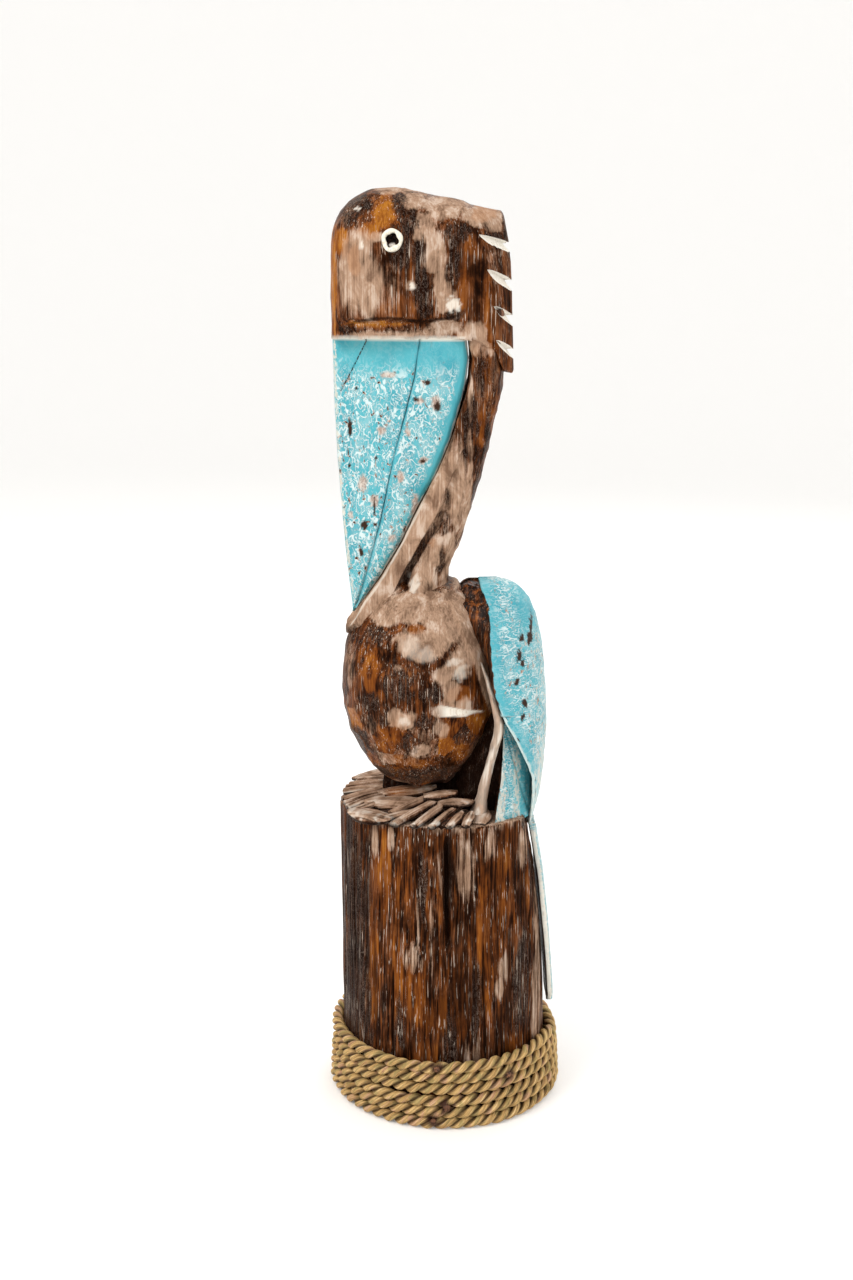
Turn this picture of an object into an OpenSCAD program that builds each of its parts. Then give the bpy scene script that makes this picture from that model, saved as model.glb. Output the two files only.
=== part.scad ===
// Carved pelican perched on a log post with a rope-bound foot.
// Millimetres. +Z is up, the bird looks along -Y and its left side is +X.
// The origin is the middle of the post's underside.

/* [Post] */
// Radius of the log at its foot
log_r = 59; // [58:0.5:60]
// Height of the post under the feet
post_h = 168; // [166:1:169]
// Half width of the post across the bird at its top
post_top_half_w = 51; // [48:1:54]

/* [Rope] */
// Diameter of the rope
rope_d = 6.6; // [6:0.1:6.8]
// Turns of rope round the foot
rope_turns = 6; // [3:1:6]
// Tacks that hold the rope
tack_count = 6; // [3:1:8]

/* [Bird] */
// Height of the crown above the table
crown_z = 500; // [498:1:504]
// Radius of the torso at its widest
torso_r = 44.3; // [42:0.5:45]
// Half height of the torso
torso_half_h = 61; // [60:0.5:62]
// Half width of the head
head_half_w = 35; // [32:1:37]
// Half width of the bill at its root
bill_half_w = 25; // [22:1:27]

/* [Eyes] */
// Outer diameter of an eye ring
eye_ring_d = 12.4; // [11:0.2:13]
// Diameter of the peg inside the ring
eye_peg_d = 7; // [6:0.2:8]

/* [Joinery] */
// Diameter of the dowels between the carved blocks
dowel_d = 8; // [6:1:9]

/* [Hidden] */

$fn = 48;
wood = "saddlebrown";
dark_wood = "#3a2113";
paint = "#4fc0cc";
glue = 0.3;             // glue line left between two curved blocks

// Heights of the seams between the blocks
torso_z = 240;          // the torso's equator
torso_y = -14;          // the torso's axis lies in front of the post's
neck_z = 288;           // the neck stands on the torso here
chin_z = 424;           // the head stands on neck and bill here
bill_tip_z = 276;
crest_z = 405;          // underside of the crest
wing_top_z = 297;
wing_tip_z = 158;

// Side outlines, each [height, y], from low to high
bill_back = [[276, -49.8], [288, -42], [298, -35], [316, -24.5], [338, -14], [354, -5.5],
             [372, 2], [388, 6.5], [403, 10], [424, 11]];
mouth_line = [[276, -50.6], [290, -46], [326, -36], [352, -29.4], [383, -24], [424, -17]];
neck_back = [[288, 2], [302, 3.4], [322, 11], [348, 19], [374, 25.5], [387, 28], [399, 31],
             [404.9, 32.5], [405, 25], [424, 25]];
neck_half_w = [[288, 20], [300, 21], [330, 22], [370, 24], [424, 27]];
neck_front_w = [[288, 3], [298, 11], [316, 17], [350, 21], [388, 24], [424, 26]];
post_back = [[0, 59], [20, 59], [58, 57.5], [95, 54.4], [132, 50.4], [156, 46.3], [170, 43.5]];
wing_r = [[158, 48], [172, 51.7], [179, 53.2], [193, 54.7], [214, 56], [232, 55.8],
          [249, 54.3], [262, 52.5], [276, 50], [289, 46.5], [297, 43]];
wing_edge = [[158, 44.5], [178, 46.5], [196, 41.5], [218, 33.5], [237, 26.5], [259, 22.8],
             [280, 21.4], [297, 21]];
wing_face = [[158, 0], [240, 0], [259, 5], [283, 12], [297, 13]];
crown = [[-34, 0], [-22, -1], [-12, -3], [-3, -5.5], [12, -9], [27, -11], [35, -12]];
crest_seam = [[12, 492], [14, 476], [20, 459], [24, 441], [25, 425], [25, 405]];
crest_cuts = [[14.4, 476, 467], [21, 459, 451], [24.8, 441.5, 434], [26, 426, 418]];

// A solid through rings of points. Every ring has the same even number of points,
// and its two halves run side by side, so that a ring may be hollow on one side.
module skin(rings) {
    n = len(rings[0]);
    last = len(rings) - 1;
    sides = [for (i = [0:last - 1], j = [0:n - 1])
        let (a = i * n + j, b = i * n + (j + 1) % n)
        each [[a, b, b + n], [a, b + n, a + n]]];
    caps = [for (j = [0:n / 2 - 2], top = [0, 1])
        let (o = top * last * n, q = [o + j, o + j + 1, o + n - 2 - j, o + n - 1 - j])
        each top == 0 ? [[q[2], q[1], q[0]], [q[3], q[2], q[0]]]
                      : [[q[0], q[1], q[2]], [q[0], q[2], q[3]]]];
    polyhedron([for (r = rings) each r], [for (f = concat(sides, caps)) [f[2], f[1], f[0]]], convexity = 6);
}

function reversed(list) = [for (i = [len(list) - 1:-1:0]) list[i]];
function levels(low, high, count) = [for (i = [0:count]) low + (high - low) * i / count];
function arc_x(r, y) = sqrt(max(0, r * r - y * y));
function torso_radius(z) = torso_r * sqrt(max(0, 1 - pow((z - torso_z) / torso_half_h, 2)));

// Half an oval from [w, y0] over [0, y1] to [-w, y0], squarer as power grows
function half_oval(w, y0, y1, z, power, steps) = [for (i = [0:steps])
    let (t = 180 * i / steps, c = cos(t), s = sin(t))
    [w * sign(c) * pow(abs(c), 2 / power), y0 + (y1 - y0) * pow(abs(s), 2 / power), z]];

module mirrored_if(right) {
    if (right) mirror([1, 0, 0]) children();
    else children();
}

// Dowels

module dowel(length) cylinder(d = dowel_d, h = length);

module neck_dowel_shape() translate([0, -18, neck_z - 22]) dowel(44);
module head_dowel_shape() translate([0, 18, chin_z - 18]) cylinder(d = dowel_d - 2, h = 36);
module rump_dowel_shapes()
    for (x = [-13, 13]) translate([x, 23, post_h - 25]) dowel(50);
module wing_dowel_shapes()
    for (x = [-15, 15], z = [222, 256]) translate([x, 12, z]) rotate([-90, 0, 0]) dowel(30);
module tail_pin_shapes()
    for (z = [80, 130]) translate([0, lookup(z, post_back) - 16, z])
        rotate([-90, 0, 0]) cylinder(d = 3, h = 20);

// Post

function post_ring(z) =
    let (w = log_r + (post_top_half_w - log_r) * z / post_h, back = lookup(z, post_back))
    concat(half_oval(w, 0, log_r, z, 2, 24),
           reversed([for (p = half_oval(w, 0, -log_r, z, 2, 24)) if (abs(p[1]) > 0.01) p]));

module post_blank() intersection() {
    skin([for (z = levels(0, post_h, 4)) post_ring(z)]);
    rotate([90, 0, 90]) linear_extrude(150, center = true)
        polygon(concat([[-70, -1], [log_r, -1]], [for (p = post_back) [p[1], p[0]]], [[-70, 170]]));
}

module post() color(wood) difference() {
    post_blank();
    rump_dowel_shapes();
    tail_pin_shapes();
    tack_shapes();
}

// Rope: each turn lies level and steps up to the next over a short ramp at the back

rope_r = rope_d / 2;
rope_path_r = log_r + rope_r + 0.7;
rope_pitch = rope_d + 0.4;
ramp = 60;              // degrees over which a turn steps up
rope_step = 15;         // degrees from ring to ring
rope_start = 150;       // where the rope starts and ends

function rope_rise(a) = let (part = (a % 360 - (360 - ramp)) / ramp)
    floor(a / 360) + (part > 0 ? (1 - cos(180 * part)) / 2 : 0);
function rope_ring(a) =
    let (turn = a + rope_start, z = rope_r + rope_pitch * rope_rise(a))
    [for (i = [0:7]) let (r = rope_path_r + rope_r * cos(45 * i))
        [r * cos(turn), r * sin(turn), z + rope_r * sin(45 * i)]];
rope_end = 360 * rope_turns - ramp - rope_step;

module rope_wrap() color("burlywood") difference() {
    skin([for (a = [0:rope_step:rope_end]) rope_ring(a)]);
    tack_shapes();
}

// Tacks: their heads sink into the rope and their points into the post

function tack_z(i) = rope_r + rope_pitch * (i * 5 % rope_turns);
module tack_shapes()
    for (i = [0:tack_count - 1]) rotate([0, 0, rope_start + 30 + 250 * i / tack_count])
        translate([rope_path_r + rope_r - 0.6, 0, tack_z(i)]) rotate([0, -90, 0]) {
            cylinder(d = 4.4, h = 1.2);
            cylinder(d = 1.6, h = 16);
        }
module rope_tacks() color("#5c4433") tack_shapes();

// Rump: the block behind the legs, under and behind the torso

function rump_ring(z) = let (w = 25, steps = 10)
    concat([for (i = [0:steps]) let (x = w - 2 * w * i / steps,
                under = torso_y + arc_x(torso_radius(z), x) + glue)
               [x, min(30, max(14 + abs(x) / 8, under)), z]],
           [for (i = [0:steps]) [-w + 2 * w * i / steps, 30.5, z]]);

module rump() color(dark_wood) difference() {
    skin([for (z = levels(post_h, 224, 7)) rump_ring(z)]);
    rump_dowel_shapes();
}

// Torso

module torso_blank()
    skin([for (z = levels(torso_z - torso_half_h + 0.8, neck_z, 14))
        let (r = torso_radius(z))
        [for (i = [0:31]) [r * cos(i * 11.25), torso_y + r * sin(i * 11.25), z]]]);

module torso() color(wood) difference() {
    torso_blank();
    neck_dowel_shape();
    wing_dowel_shapes();
}

// Neck

function neck_ring(z) =
    let (front = lookup(z, bill_back) + glue / 2, w = lookup(z, neck_half_w), fw = lookup(z, neck_front_w),
         back = lookup(z, neck_back), wide = front + (back - front) * 0.4)
    concat([[fw, front, z]], half_oval(w, wide, back, z, 2.6, 15), [[-fw, front, z]]);

module neck() color(wood) difference() {
    skin([for (z = concat(levels(neck_z, crest_z - 0.1, 10), [crest_z, chin_z])) neck_ring(z)]);
    neck_dowel_shape();
    head_dowel_shape();
}

// Head, sliced from front to back

head_front = -60.8;
function head_w(y) = y > -24 ? head_half_w - 0.002 * pow(y + 24, 2)
    : 3 + (head_half_w - 3) * pow(1 - pow((-24 - y) / 37.2, 2.3), 1 / 2.3);
function head_top(y) = y > -34 ? crown_z + lookup(y, crown)
    : crown_z - 30 + 30 * sqrt(max(0, 1 - pow((-34 - y) / 27, 2)));
function head_ring(y) =
    let (w = head_w(y), top = head_top(y), side = chin_z + 15, jaw = max(2, w - 7))
    concat([[jaw, y, chin_z]],
           [for (i = [0:13]) let (t = 180 * i / 13, c = cos(t), s = sin(t))
               [w * sign(c) * pow(abs(c), 0.6), y, side + (top - side) * pow(s, 0.6)]],
           [[-jaw, y, chin_z]]);

module head() color(wood) difference() {
    skin([for (y = [-60.6, -59, -56, -51, -44, -34, -22, -10, 2, 14, 26]) head_ring(y)]);
    crest_seat();
    head_dowel_shape();
    for (right = [false, true]) mirrored_if(right) eye_socket();
}

// Crest: feather ends sawn one above the other down the nape

module side_prism(points, half_w) rotate([90, 0, 90])
    linear_extrude(2 * half_w, center = true) polygon(points);

module crest_seat() side_prism(concat(crest_seam, [[60, crest_z], [60, 492]]), 60);

module crest() color(wood) difference() {
    side_prism(concat(crest_seam, [[34.5, crest_z], [33.5, 452], [31.5, 470], [30, 488], [26, 489.2]]), 31);
    for (c = crest_cuts)
        side_prism([[c[0], c[1]], [40, c[2] + 1.6], [40, c[2] - 4.4]], 40);
    for (right = [false, true]) mirrored_if(right)
        translate([31, 25, 400]) rotate([0, 0, 42]) cube([30, 30, 100]);
    translate([0, 0, 488]) rotate([-7, 0, 0]) translate([-40, 0, 3]) cube([80, 60, 20]);
}

// Bill

function bill_front(z) = -59.4 + 9.2 * pow((chin_z - z) / (chin_z - bill_tip_z), 1.8);
function bill_w(z) = 2.5 + (bill_half_w - 2.5) * pow((z - bill_tip_z) / (chin_z - bill_tip_z), 0.75);
function upper_ring(z) =
    let (w = bill_w(z) * 0.94, back = lookup(z, mouth_line), front = bill_front(z),
         nose = min(4, w * 0.6))
    [[w, back, z], [(w + nose) / 2 + 1.5, (back + front) / 2, z], [nose, front, z],
     [-nose, front, z], [-(w + nose) / 2 - 1.5, (back + front) / 2, z], [-w, back, z]];
function pouch_ring(z) =
    let (w = bill_w(z), front = lookup(z, mouth_line) + 0.2, back = lookup(z, bill_back) - glue / 2)
    [[w * 0.97, back, z], [w, (front + back) / 2, z], [w * 0.94, front, z],
     [-w * 0.94, front, z], [-w, (front + back) / 2, z], [-w * 0.97, back, z]];

module bill_upper() color(paint) skin([for (z = levels(bill_tip_z + 1, chin_z, 12)) upper_ring(z)]);
module bill_pouch() color(paint) skin([for (z = levels(bill_tip_z + 4, chin_z, 12)) pouch_ring(z)]);

// Wings: blocks between the torso and the log's old outside

function wing_ring(z) =
    let (r = lookup(z, wing_r), edge = lookup(z, wing_edge), face_y = edge - lookup(z, wing_face),
         inner_r = max(27, z < torso_z ? torso_r : torso_radius(z)) + glue,
         gap = 0.5, steps = 8, a0 = asin(gap / r), a1 = acos(edge / r),
         inner_x = max(6, arc_x(inner_r, face_y - torso_y)))
    concat([for (i = [0:steps]) let (a = a0 + (a1 - a0) * i / steps) [r * sin(a), r * cos(a), z]],
           [for (i = [0:steps]) let (x = inner_x + (gap - inner_x) * i / steps)
               [x, max(face_y, torso_y + arc_x(inner_r, x)), z]]);

module wing(right) color(paint) mirrored_if(right) difference() {
    skin([for (z = levels(wing_tip_z, wing_top_z, 16)) wing_ring(z)]);
    wing_dowel_shapes();
}

// Coverts: the lower feathers that show under each wing and stand on the post

function covert_ring(z) =
    let (front = 31 + (z - post_h) * 0.03, back = max(front + 1, min(lookup(z, wing_edge) - glue, 43)),
         r = 49.5, inner = 10)
    [for (q = [[arc_x(r, front), front], [arc_x(r, (front + back) / 2), (front + back) / 2],
               [arc_x(r, back), back], [inner, back], [inner, (front + back) / 2], [inner, front]])
        [q[0], q[1], z]];
module covert(right) color(paint) mirrored_if(right)
    skin([for (z = levels(post_h, 221, 8)) covert_ring(z)]);

// Tail: a board that lies on the post's back

tail_half_w = [[50, 12], [56, 19], [90, 24], [130, 23], [157, 18]];
function tail_ring(z) =
    let (w = lookup(z, tail_half_w), bed = lookup(z, post_back))
    [[w, bed, z], [w, bed + 2.4, z], [w / 2, bed + 4, z],
     [-w / 2, bed + 4, z], [-w, bed + 2.4, z], [-w, bed, z]];
module tail() color(paint) difference() {
    skin([for (z = [50, 53, 58, 76, 95, 113, 132, 145, 156]) tail_ring(z)]);
    tail_pin_shapes();
}

// Legs and feet

ankle = [27, 15, post_h + 5];
module leg(right) color(wood) mirrored_if(right) intersection() {
    union() {
        hull() {
            translate([31.5, 24, 212]) sphere(4.4, $fn = 16);
            translate([31.5, 22, 190]) sphere(4, $fn = 16);
        }
        hull() {
            translate([31.5, 22, 190]) sphere(4, $fn = 16);
            translate([31.5, 18, post_h + 11]) sphere(4.8, $fn = 16);
        }
    }
    translate([26, 0, post_h + 9]) cube([20, 30.5, 60]);
}

toe_angles = [-8, 14, 36, 58, 80];
function toe_reach(a) = 41 - 22 * sin(a) + 12 * cos(a);
module toe(a, width) {
    hull() {
        translate(ankle) sphere(4, $fn = 12);
        translate(ankle + [toe_reach(a) * sin(a), -toe_reach(a) * cos(a), -2]) rotate([0, 0, a])
            rotate([0, 45, 0]) cube([width, 3, width], center = true);
    }
}
module foot(right) color(wood) mirrored_if(right) intersection() {
    union() {
        for (a = toe_angles) toe(a, 6);
        for (i = [0:3]) hull() {
            translate(ankle) sphere(3, $fn = 12);
            for (a = [toe_angles[i], toe_angles[i + 1]])
                translate([ankle[0] + (toe_reach(a) - 3) * sin(a), ankle[1] - (toe_reach(a) - 3) * cos(a), post_h + 1])
                    cube([2, 2, 2], center = true);
        }
        translate([0, 0, post_h]) translate([ankle[0], ankle[1], 0]) cylinder(r = 7, h = 9);
    }
    translate([0.5, -70, post_h]) cube([80, 100, 9]);
}

// Eyes

eye_at = [32.2, -28, 472.5];
eye_turn = [0, 86, -14];
module at_eye(right) mirrored_if(right) translate(eye_at) rotate([0, 0, eye_turn[2]]) rotate([0, eye_turn[1], 0])
    children();
module eye_socket() translate(eye_at) rotate([0, 0, eye_turn[2]]) rotate([0, eye_turn[1], 0])
    translate([0, 0, -4]) cylinder(d = eye_ring_d, h = 12);
module eye_ring(right) color("ivory") at_eye(right) translate([0, 0, -4]) difference() {
    cylinder(d = eye_ring_d, h = 5.4);
    translate([0, 0, -1]) cylinder(d = eye_peg_d, h = 8);
}
module eye_peg(right) color("#1d1310") at_eye(right) translate([0, 0, -4]) cylinder(d = eye_peg_d, h = 4.4);

// Nodes

post();
rump();
torso();
neck();
head();
crest();
bill_upper();
bill_pouch();
wing(false);  // wing_left
wing(true);  // wing_right
covert(false);  // covert_left
covert(true);  // covert_right
tail();
leg(false);  // leg_left
leg(true);  // leg_right
foot(false);  // foot_left
foot(true);  // foot_right
eye_ring(false);  // eye_ring_left
eye_ring(true);  // eye_ring_right
eye_peg(false);  // eye_peg_left
eye_peg(true);  // eye_peg_right
rope_wrap();
rope_tacks();
color("tan") neck_dowel_shape();  // neck_dowel
color("tan") head_dowel_shape();  // head_dowel
color("tan") rump_dowel_shapes();  // rump_dowels
color("tan") wing_dowel_shapes();  // wing_dowels
color("#5c4433") tail_pin_shapes();  // tail_pins
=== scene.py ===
"""Looks of the carved pelican: dense carved meshes and procedural stain, whitewash, crackled paint and rope."""
import math

import bpy
import numpy as np
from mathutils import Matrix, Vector


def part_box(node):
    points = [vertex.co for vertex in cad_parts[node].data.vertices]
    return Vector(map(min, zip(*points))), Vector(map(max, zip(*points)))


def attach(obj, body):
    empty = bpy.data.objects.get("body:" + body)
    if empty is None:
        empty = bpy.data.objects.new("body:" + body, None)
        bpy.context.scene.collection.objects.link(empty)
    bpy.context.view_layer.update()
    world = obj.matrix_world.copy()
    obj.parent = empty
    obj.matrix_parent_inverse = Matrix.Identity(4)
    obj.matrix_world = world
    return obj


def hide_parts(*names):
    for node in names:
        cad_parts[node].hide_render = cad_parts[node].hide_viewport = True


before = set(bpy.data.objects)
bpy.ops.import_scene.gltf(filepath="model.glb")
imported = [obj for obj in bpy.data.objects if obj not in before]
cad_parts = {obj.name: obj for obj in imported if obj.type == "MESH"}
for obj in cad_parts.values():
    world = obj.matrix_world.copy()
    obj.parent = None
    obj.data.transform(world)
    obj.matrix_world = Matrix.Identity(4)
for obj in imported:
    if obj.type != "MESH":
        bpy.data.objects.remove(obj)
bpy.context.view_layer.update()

MM = 0.001
UP = np.array([0, 0, 1.0])

# ---------------------------------------------------------------- places in millimetres, the first few read from the frame


def node_box(name):
    return np.array(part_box(name)) / MM


LOG_R, _, POST_H = node_box("post")[1]
(_, HEAD_FRONT, CHIN_Z), (HEAD_HALF_W, _, CROWN_Z) = node_box("head")
(_, _, CREST_Z), (_, CREST_BACK, _) = node_box("crest")
(_, torso_front, _), (TORSO_R, torso_back, _) = node_box("torso")
TAIL_LOW, TAIL_HIGH = node_box("tail")[:, 2]
BILL_HALF_W = node_box("bill_pouch")[1][0]
BILL_TIP_Z = node_box("bill_upper")[0][2]
ROPE_OUTER_R = node_box("rope_wrap")[1][0]
EYE_MIDDLE = node_box("eye_ring_left").mean(0)
TORSO_Y = (torso_front + torso_back) / 2
TORSO_Z, TORSO_DOWN, TORSO_UP = 240.0, 64.5, 61.0
POST_TOP, POST_TOP_HALF_W = POST_H + 2.4, 51.5
NECK_LOW, NECK_TOP = 266, CHIN_Z + 15
WING_LOW, WING_TOP = 158.2, 295.5
HEAD_SIDE_TOP, HEAD_MIDDLE_Y, HEAD_END_Y = 462.0, -16.0, 12.5
SOCKET_DEPTH = 3.4
NAPE_W = 16.5
ROPE_R, ROPE_TURNS, ROPE_PITCH, TWIST_PITCH = 3.3, 6, 6.5, 15.4

# side outlines, (height, y)
BILL_BACK = [(270, -54), (276, -49.8), (288, -42), (298, -35), (316, -24.5), (338, -14), (354, -5.5),
             (372, 2), (388, 6.5), (403, 10), (414, 11), (424, 10)]
MOUTH_LINE = [(276, -50.6), (290, -46), (326, -36), (352, -30.4), (363, -28),
              (387, -21.6), (404, -17.2), (424, -14.2)]
NECK_BACK = [(270, 6), (288, 2), (302, 3.4), (322, 11), (348, 19), (374, 25.5), (387, 28), (399, 31),
             (412, 31), (430, 31)]
STRIP_EDGE = [(266, -42), (282, -30.5), (303, -21.5), (318, -13), (332, -4.5), (347, 0.8), (370, 9.9), (400, 16.9),
              (440, 18)]
POST_BACK = [(0, 59), (20, 59), (58, 57.5), (95, 54.4), (132, 50.4), (156, 46.3), (170, 43.5)]
WING_R = [(158, 47.6), (163, 49.5), (172, 51.5), (179, 53.0), (193, 54.6), (214, 55.9), (232, 55.7), (249, 54.2),
          (262, 52.5), (276, 49), (284, 45.5), (289, 41.5), (292, 38), (294, 34), (295.5, 29)]
WING_EDGE = [(158, 46.8), (165, 46.6), (183, 47.0), (193, 46.5), (202, 43.5), (214.6, 37.5), (225, 31.4),
             (232, 28.4), (240, 25.5), (259, 23.2), (271, 22.8), (284, 22.0), (295.5, 18)]
WING_HALF_W = [(158, 16), (172, 30), (183, 36), (193, 40), (202, 42.5), (214, 43.5), (232, 43), (249, 40.5),
               (262, 37.5), (276, 32), (284, 27), (289, 22.5), (292, 19), (294, 16), (295.5, 13)]
WING_FACE = [(225, 31.4), (236, 24.5), (254, 20.6), (267, 15.2), (283, 8.8), (288, 4.5), (291, 6), (295.5, 10)]
CREST_LINE = [(405, 34.8), (424, 34.4), (443, 33.7), (462, 32.9), (471, 31.8), (488, 28.5), (492, 27.5)]
FACET_LINE = [(405, 27), (425, 26), (441, 24.8), (458, 21.1), (476, 16), (492, 13)]
ROUND_OUT, ROUND_UP = 0.60, 0.75
CROWN = [(-34, 0), (-22, -1), (-12, -3), (-3, -5.5), (12, -9), (27, -11), (35, -12)]
# cracks in the log: angle, low end, high end, width in degrees, depth
CRACKS = [(0.8, 96, 168, 1.2, 5.0), (6.5, 96, 150, 0.5, 1.6), (-31, 8, 92, 0.55, 1.6), (22, 30, 110, 0.45, 1.4),
          (-62, 70, 160, 0.5, 1.5), (55, 20, 120, 0.6, 1.6), (128, 0, 110, 0.9, 2.4), (175, 55, 168, 0.9, 2.8),
          (-120, 10, 100, 0.7, 1.8), (-160, 60, 150, 0.5, 1.5)]
# notches in the nape: where each starts, the height there, then the heights of its two lips at the back
CREST_CUTS = [(16.0, 475.2, 471.6, 466.8), (21.1, 458.0, 452.9, 447.4), (24.6, 440.0, 435.2, 429.6),
              (25.9, 423.2, 418.2, 413.2)]
# tacks: angle round the log, height, size of the head
TACKS = [(0.5, 13.4, 2.0), (-4.4, 36.5, 1.6), (32, 28.0, 1.7), (-6, 5.2, 1.5), (160, 20.0, 1.8), (250, 30.0, 1.8)]


def along(pairs, at):
    return np.interp(at, [p[0] for p in pairs], [p[1] for p in pairs])


def between(at, places, values):
    return float(np.interp(at, places, values))


def smooth(x, low, high):
    t = np.clip((x - low) / (high - low), 0, 1)
    return t * t * (3 - 2 * t)


def most(*values):
    out = values[0]
    for value in values[1:]:
        out = np.maximum(out, value)
    return out


# ---------------------------------------------------------------- noise over points in millimetres


def lattice(ix, iy, iz, seed):
    n = (ix * 73856093) ^ (iy * 19349663) ^ (iz * 83492791) ^ (seed * 40503)
    n = (n ^ (n >> 13)) * 1274126177 & 0xFFFFFFFF
    return ((n ^ (n >> 16)) & 0xFFFF) / 0xFFFF


def noise(p, size, seed):
    """Smooth noise from -1 to 1 whose lumps are about size wide."""
    q = p / np.asarray(size, float)
    base = np.floor(q).astype(np.int64)
    f = q - base
    f = f * f * (3 - 2 * f)
    total = 0
    for dx in (0, 1):
        for dy in (0, 1):
            for dz in (0, 1):
                weight = abs(1 - dx - f[:, 0]) * abs(1 - dy - f[:, 1]) * abs(1 - dz - f[:, 2])
                total = total + weight * lattice(base[:, 0] + dx, base[:, 1] + dy, base[:, 2] + dz, seed)
    return total * 2 - 1


def rough_noise(p, size, seed, octaves=3):
    total, span = 0, 0
    for k in range(octaves):
        gain = 0.5 ** k
        total = total + gain * noise(p * 2 ** k, size, seed + 31 * k)
        span += gain
    return total / span


def patches(p, places, seed, ragged=0.45, lump=5.0, soft=0.42):
    """1 inside soft ragged ovals seen from the side; places are (y, z, half length, half height)."""
    warp = rough_noise(p, lump, seed, 4)
    best = np.zeros(len(p))
    for y, z, ry, rz in places:
        d = np.hypot((p[:, 1] - y) / ry, (p[:, 2] - z) / rz)
        best = np.maximum(best, smooth(1 - d + ragged * warp, -soft, soft))
    return best


# ---------------------------------------------------------------- meshes


def make_object(name, points, faces):
    """A mesh object from points in millimetres, its faces turned outwards."""
    mesh = bpy.data.meshes.new(name)
    mesh.from_pydata([tuple(v) for v in np.asarray(points) * MM], [], faces)
    mesh.validate()
    mesh.update()
    obj = bpy.data.objects.new(name, mesh)
    bpy.context.scene.collection.objects.link(obj)
    mesh.calc_loop_triangles()
    tri = np.array([t.vertices[:] for t in mesh.loop_triangles])
    co = np.asarray(points, float)
    volume = np.einsum("ij,ij->i", co[tri[:, 0]], np.cross(co[tri[:, 1]], co[tri[:, 2]])).sum()
    if volume < 0:
        mesh.flip_normals()
    mesh.shade_smooth()
    return obj


def get_points(obj):
    co = np.empty(len(obj.data.vertices) * 3, np.float32)
    obj.data.vertices.foreach_get("co", co)
    return co.reshape(-1, 3).astype(float) / MM


def set_points(obj, points):
    obj.data.vertices.foreach_set("co", (points * MM).astype(np.float32).ravel())
    obj.data.update()


def get_normals(obj):
    n = np.empty(len(obj.data.vertices) * 3, np.float32)
    obj.data.vertex_normals.foreach_get("vector", n)
    return n.reshape(-1, 3).astype(float)


def push(obj, amount):
    """Moves each point along its normal by amount, in millimetres."""
    set_points(obj, get_points(obj) + get_normals(obj) * np.asarray(amount)[:, None])


def masks(obj, domain="POINT", **layers):
    """Writes the named values for the materials to read; a mask that is never written reads as zero."""
    for name, values in layers.items():
        layer = obj.data.attributes.new(name, "FLOAT", domain)
        layer.data.foreach_set("value", np.asarray(values, np.float32) + np.zeros(len(layer.data), np.float32))


def coordinates(obj, name, rows):
    """Writes a named vector at each point, such as the place along and across a strand."""
    layer = obj.data.attributes.new(name, "FLOAT_VECTOR", "POINT")
    layer.data.foreach_set("vector", np.array(rows, np.float32).ravel())


def loft_faces(rings, sides, first=0):
    faces = []
    for i in range(rings - 1):
        for j in range(sides):
            a, b = first + i * sides + j, first + i * sides + (j + 1) % sides
            faces.append((a, b, b + sides, a + sides))
    return faces


def tube_faces(rings, sides, first=0):
    """Faces through rings, with one face over each end."""
    last = first + (rings - 1) * sides
    return loft_faces(rings, sides, first) + [tuple(range(first + sides - 1, first - 1, -1)),
                                              tuple(range(last, last + sides))]


def loft(name, rings, cap_steps=6):
    """A closed mesh through rings of equally many points; each end closes over its middle in small rings."""
    rings = [np.asarray(r, float) for r in rings]
    middle_low, middle_high = rings[0].mean(0), rings[-1].mean(0)
    shares = [1 - k / cap_steps for k in range(1, cap_steps)]
    low = [middle_low + (rings[0] - middle_low) * s for s in reversed(shares)]
    high = [middle_high + (rings[-1] - middle_high) * s for s in shares]
    rings = low + rings + high
    sides = len(rings[0])
    points = np.vstack(rings + [middle_low[None], middle_high[None]])
    faces = loft_faces(len(rings), sides)
    ends = len(rings) * sides
    for j in range(sides):
        k = (j + 1) % sides
        faces.append((k, j, ends))
        faces.append((ends - sides + j, ends - sides + k, ends + 1))
    return make_object(name, points, faces)


def section(corners, count, soften=2):
    """The closed outline through the corners as count evenly spaced points, its corners eased."""
    c = np.asarray(corners, float)
    closed = np.vstack([c, c[:1]])
    length = np.concatenate([[0], np.cumsum(np.linalg.norm(np.diff(closed, axis=0), axis=1))])
    at = np.linspace(0, length[-1], count, endpoint=False)
    out = np.column_stack([np.interp(at, length, closed[:, k]) for k in range(c.shape[1])])
    for _ in range(soften):
        out = (np.roll(out, 1, 0) + 2 * out + np.roll(out, -1, 0)) / 4
    return out


def mirrored(half):
    """Corners of a whole outline from those of its +X half, which run from front to back."""
    return list(half) + [(-x, y) for x, y in reversed(half) if abs(x) > 1e-6]


def at_height(outline, z):
    return np.column_stack([outline, np.full(len(outline), float(z))])


def circle(count):
    return np.linspace(0, 2 * np.pi, count, endpoint=False)


def gouges(p, seed, spacing, depth, where=1.0):
    """Scoops side by side with ridges between them: how far each point sinks, and which scoop it is in."""
    rng = np.random.default_rng(seed)
    order = rng.permutation(len(p))
    centres = np.empty((0, 3))
    for i in order[:7000]:
        if len(centres) == 0 or ((centres - p[i]) ** 2).sum(1).min() > spacing ** 2:
            centres = np.vstack([centres, p[i]])
    radii = rng.uniform(1.0, 1.4, len(centres)) * spacing
    best, nearest = np.full(len(p), 9.0), np.zeros(len(p), int)
    for k, (c, r) in enumerate(zip(centres, radii)):
        share = ((p - c) ** 2).sum(1) / r ** 2
        nearest = np.where(share < best, k, nearest)
        best = np.minimum(best, share)
    pick = rng.uniform(0, 1, len(centres))[nearest]
    return depth * (np.minimum(best, 1.0) - 1) * where, pick


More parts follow.
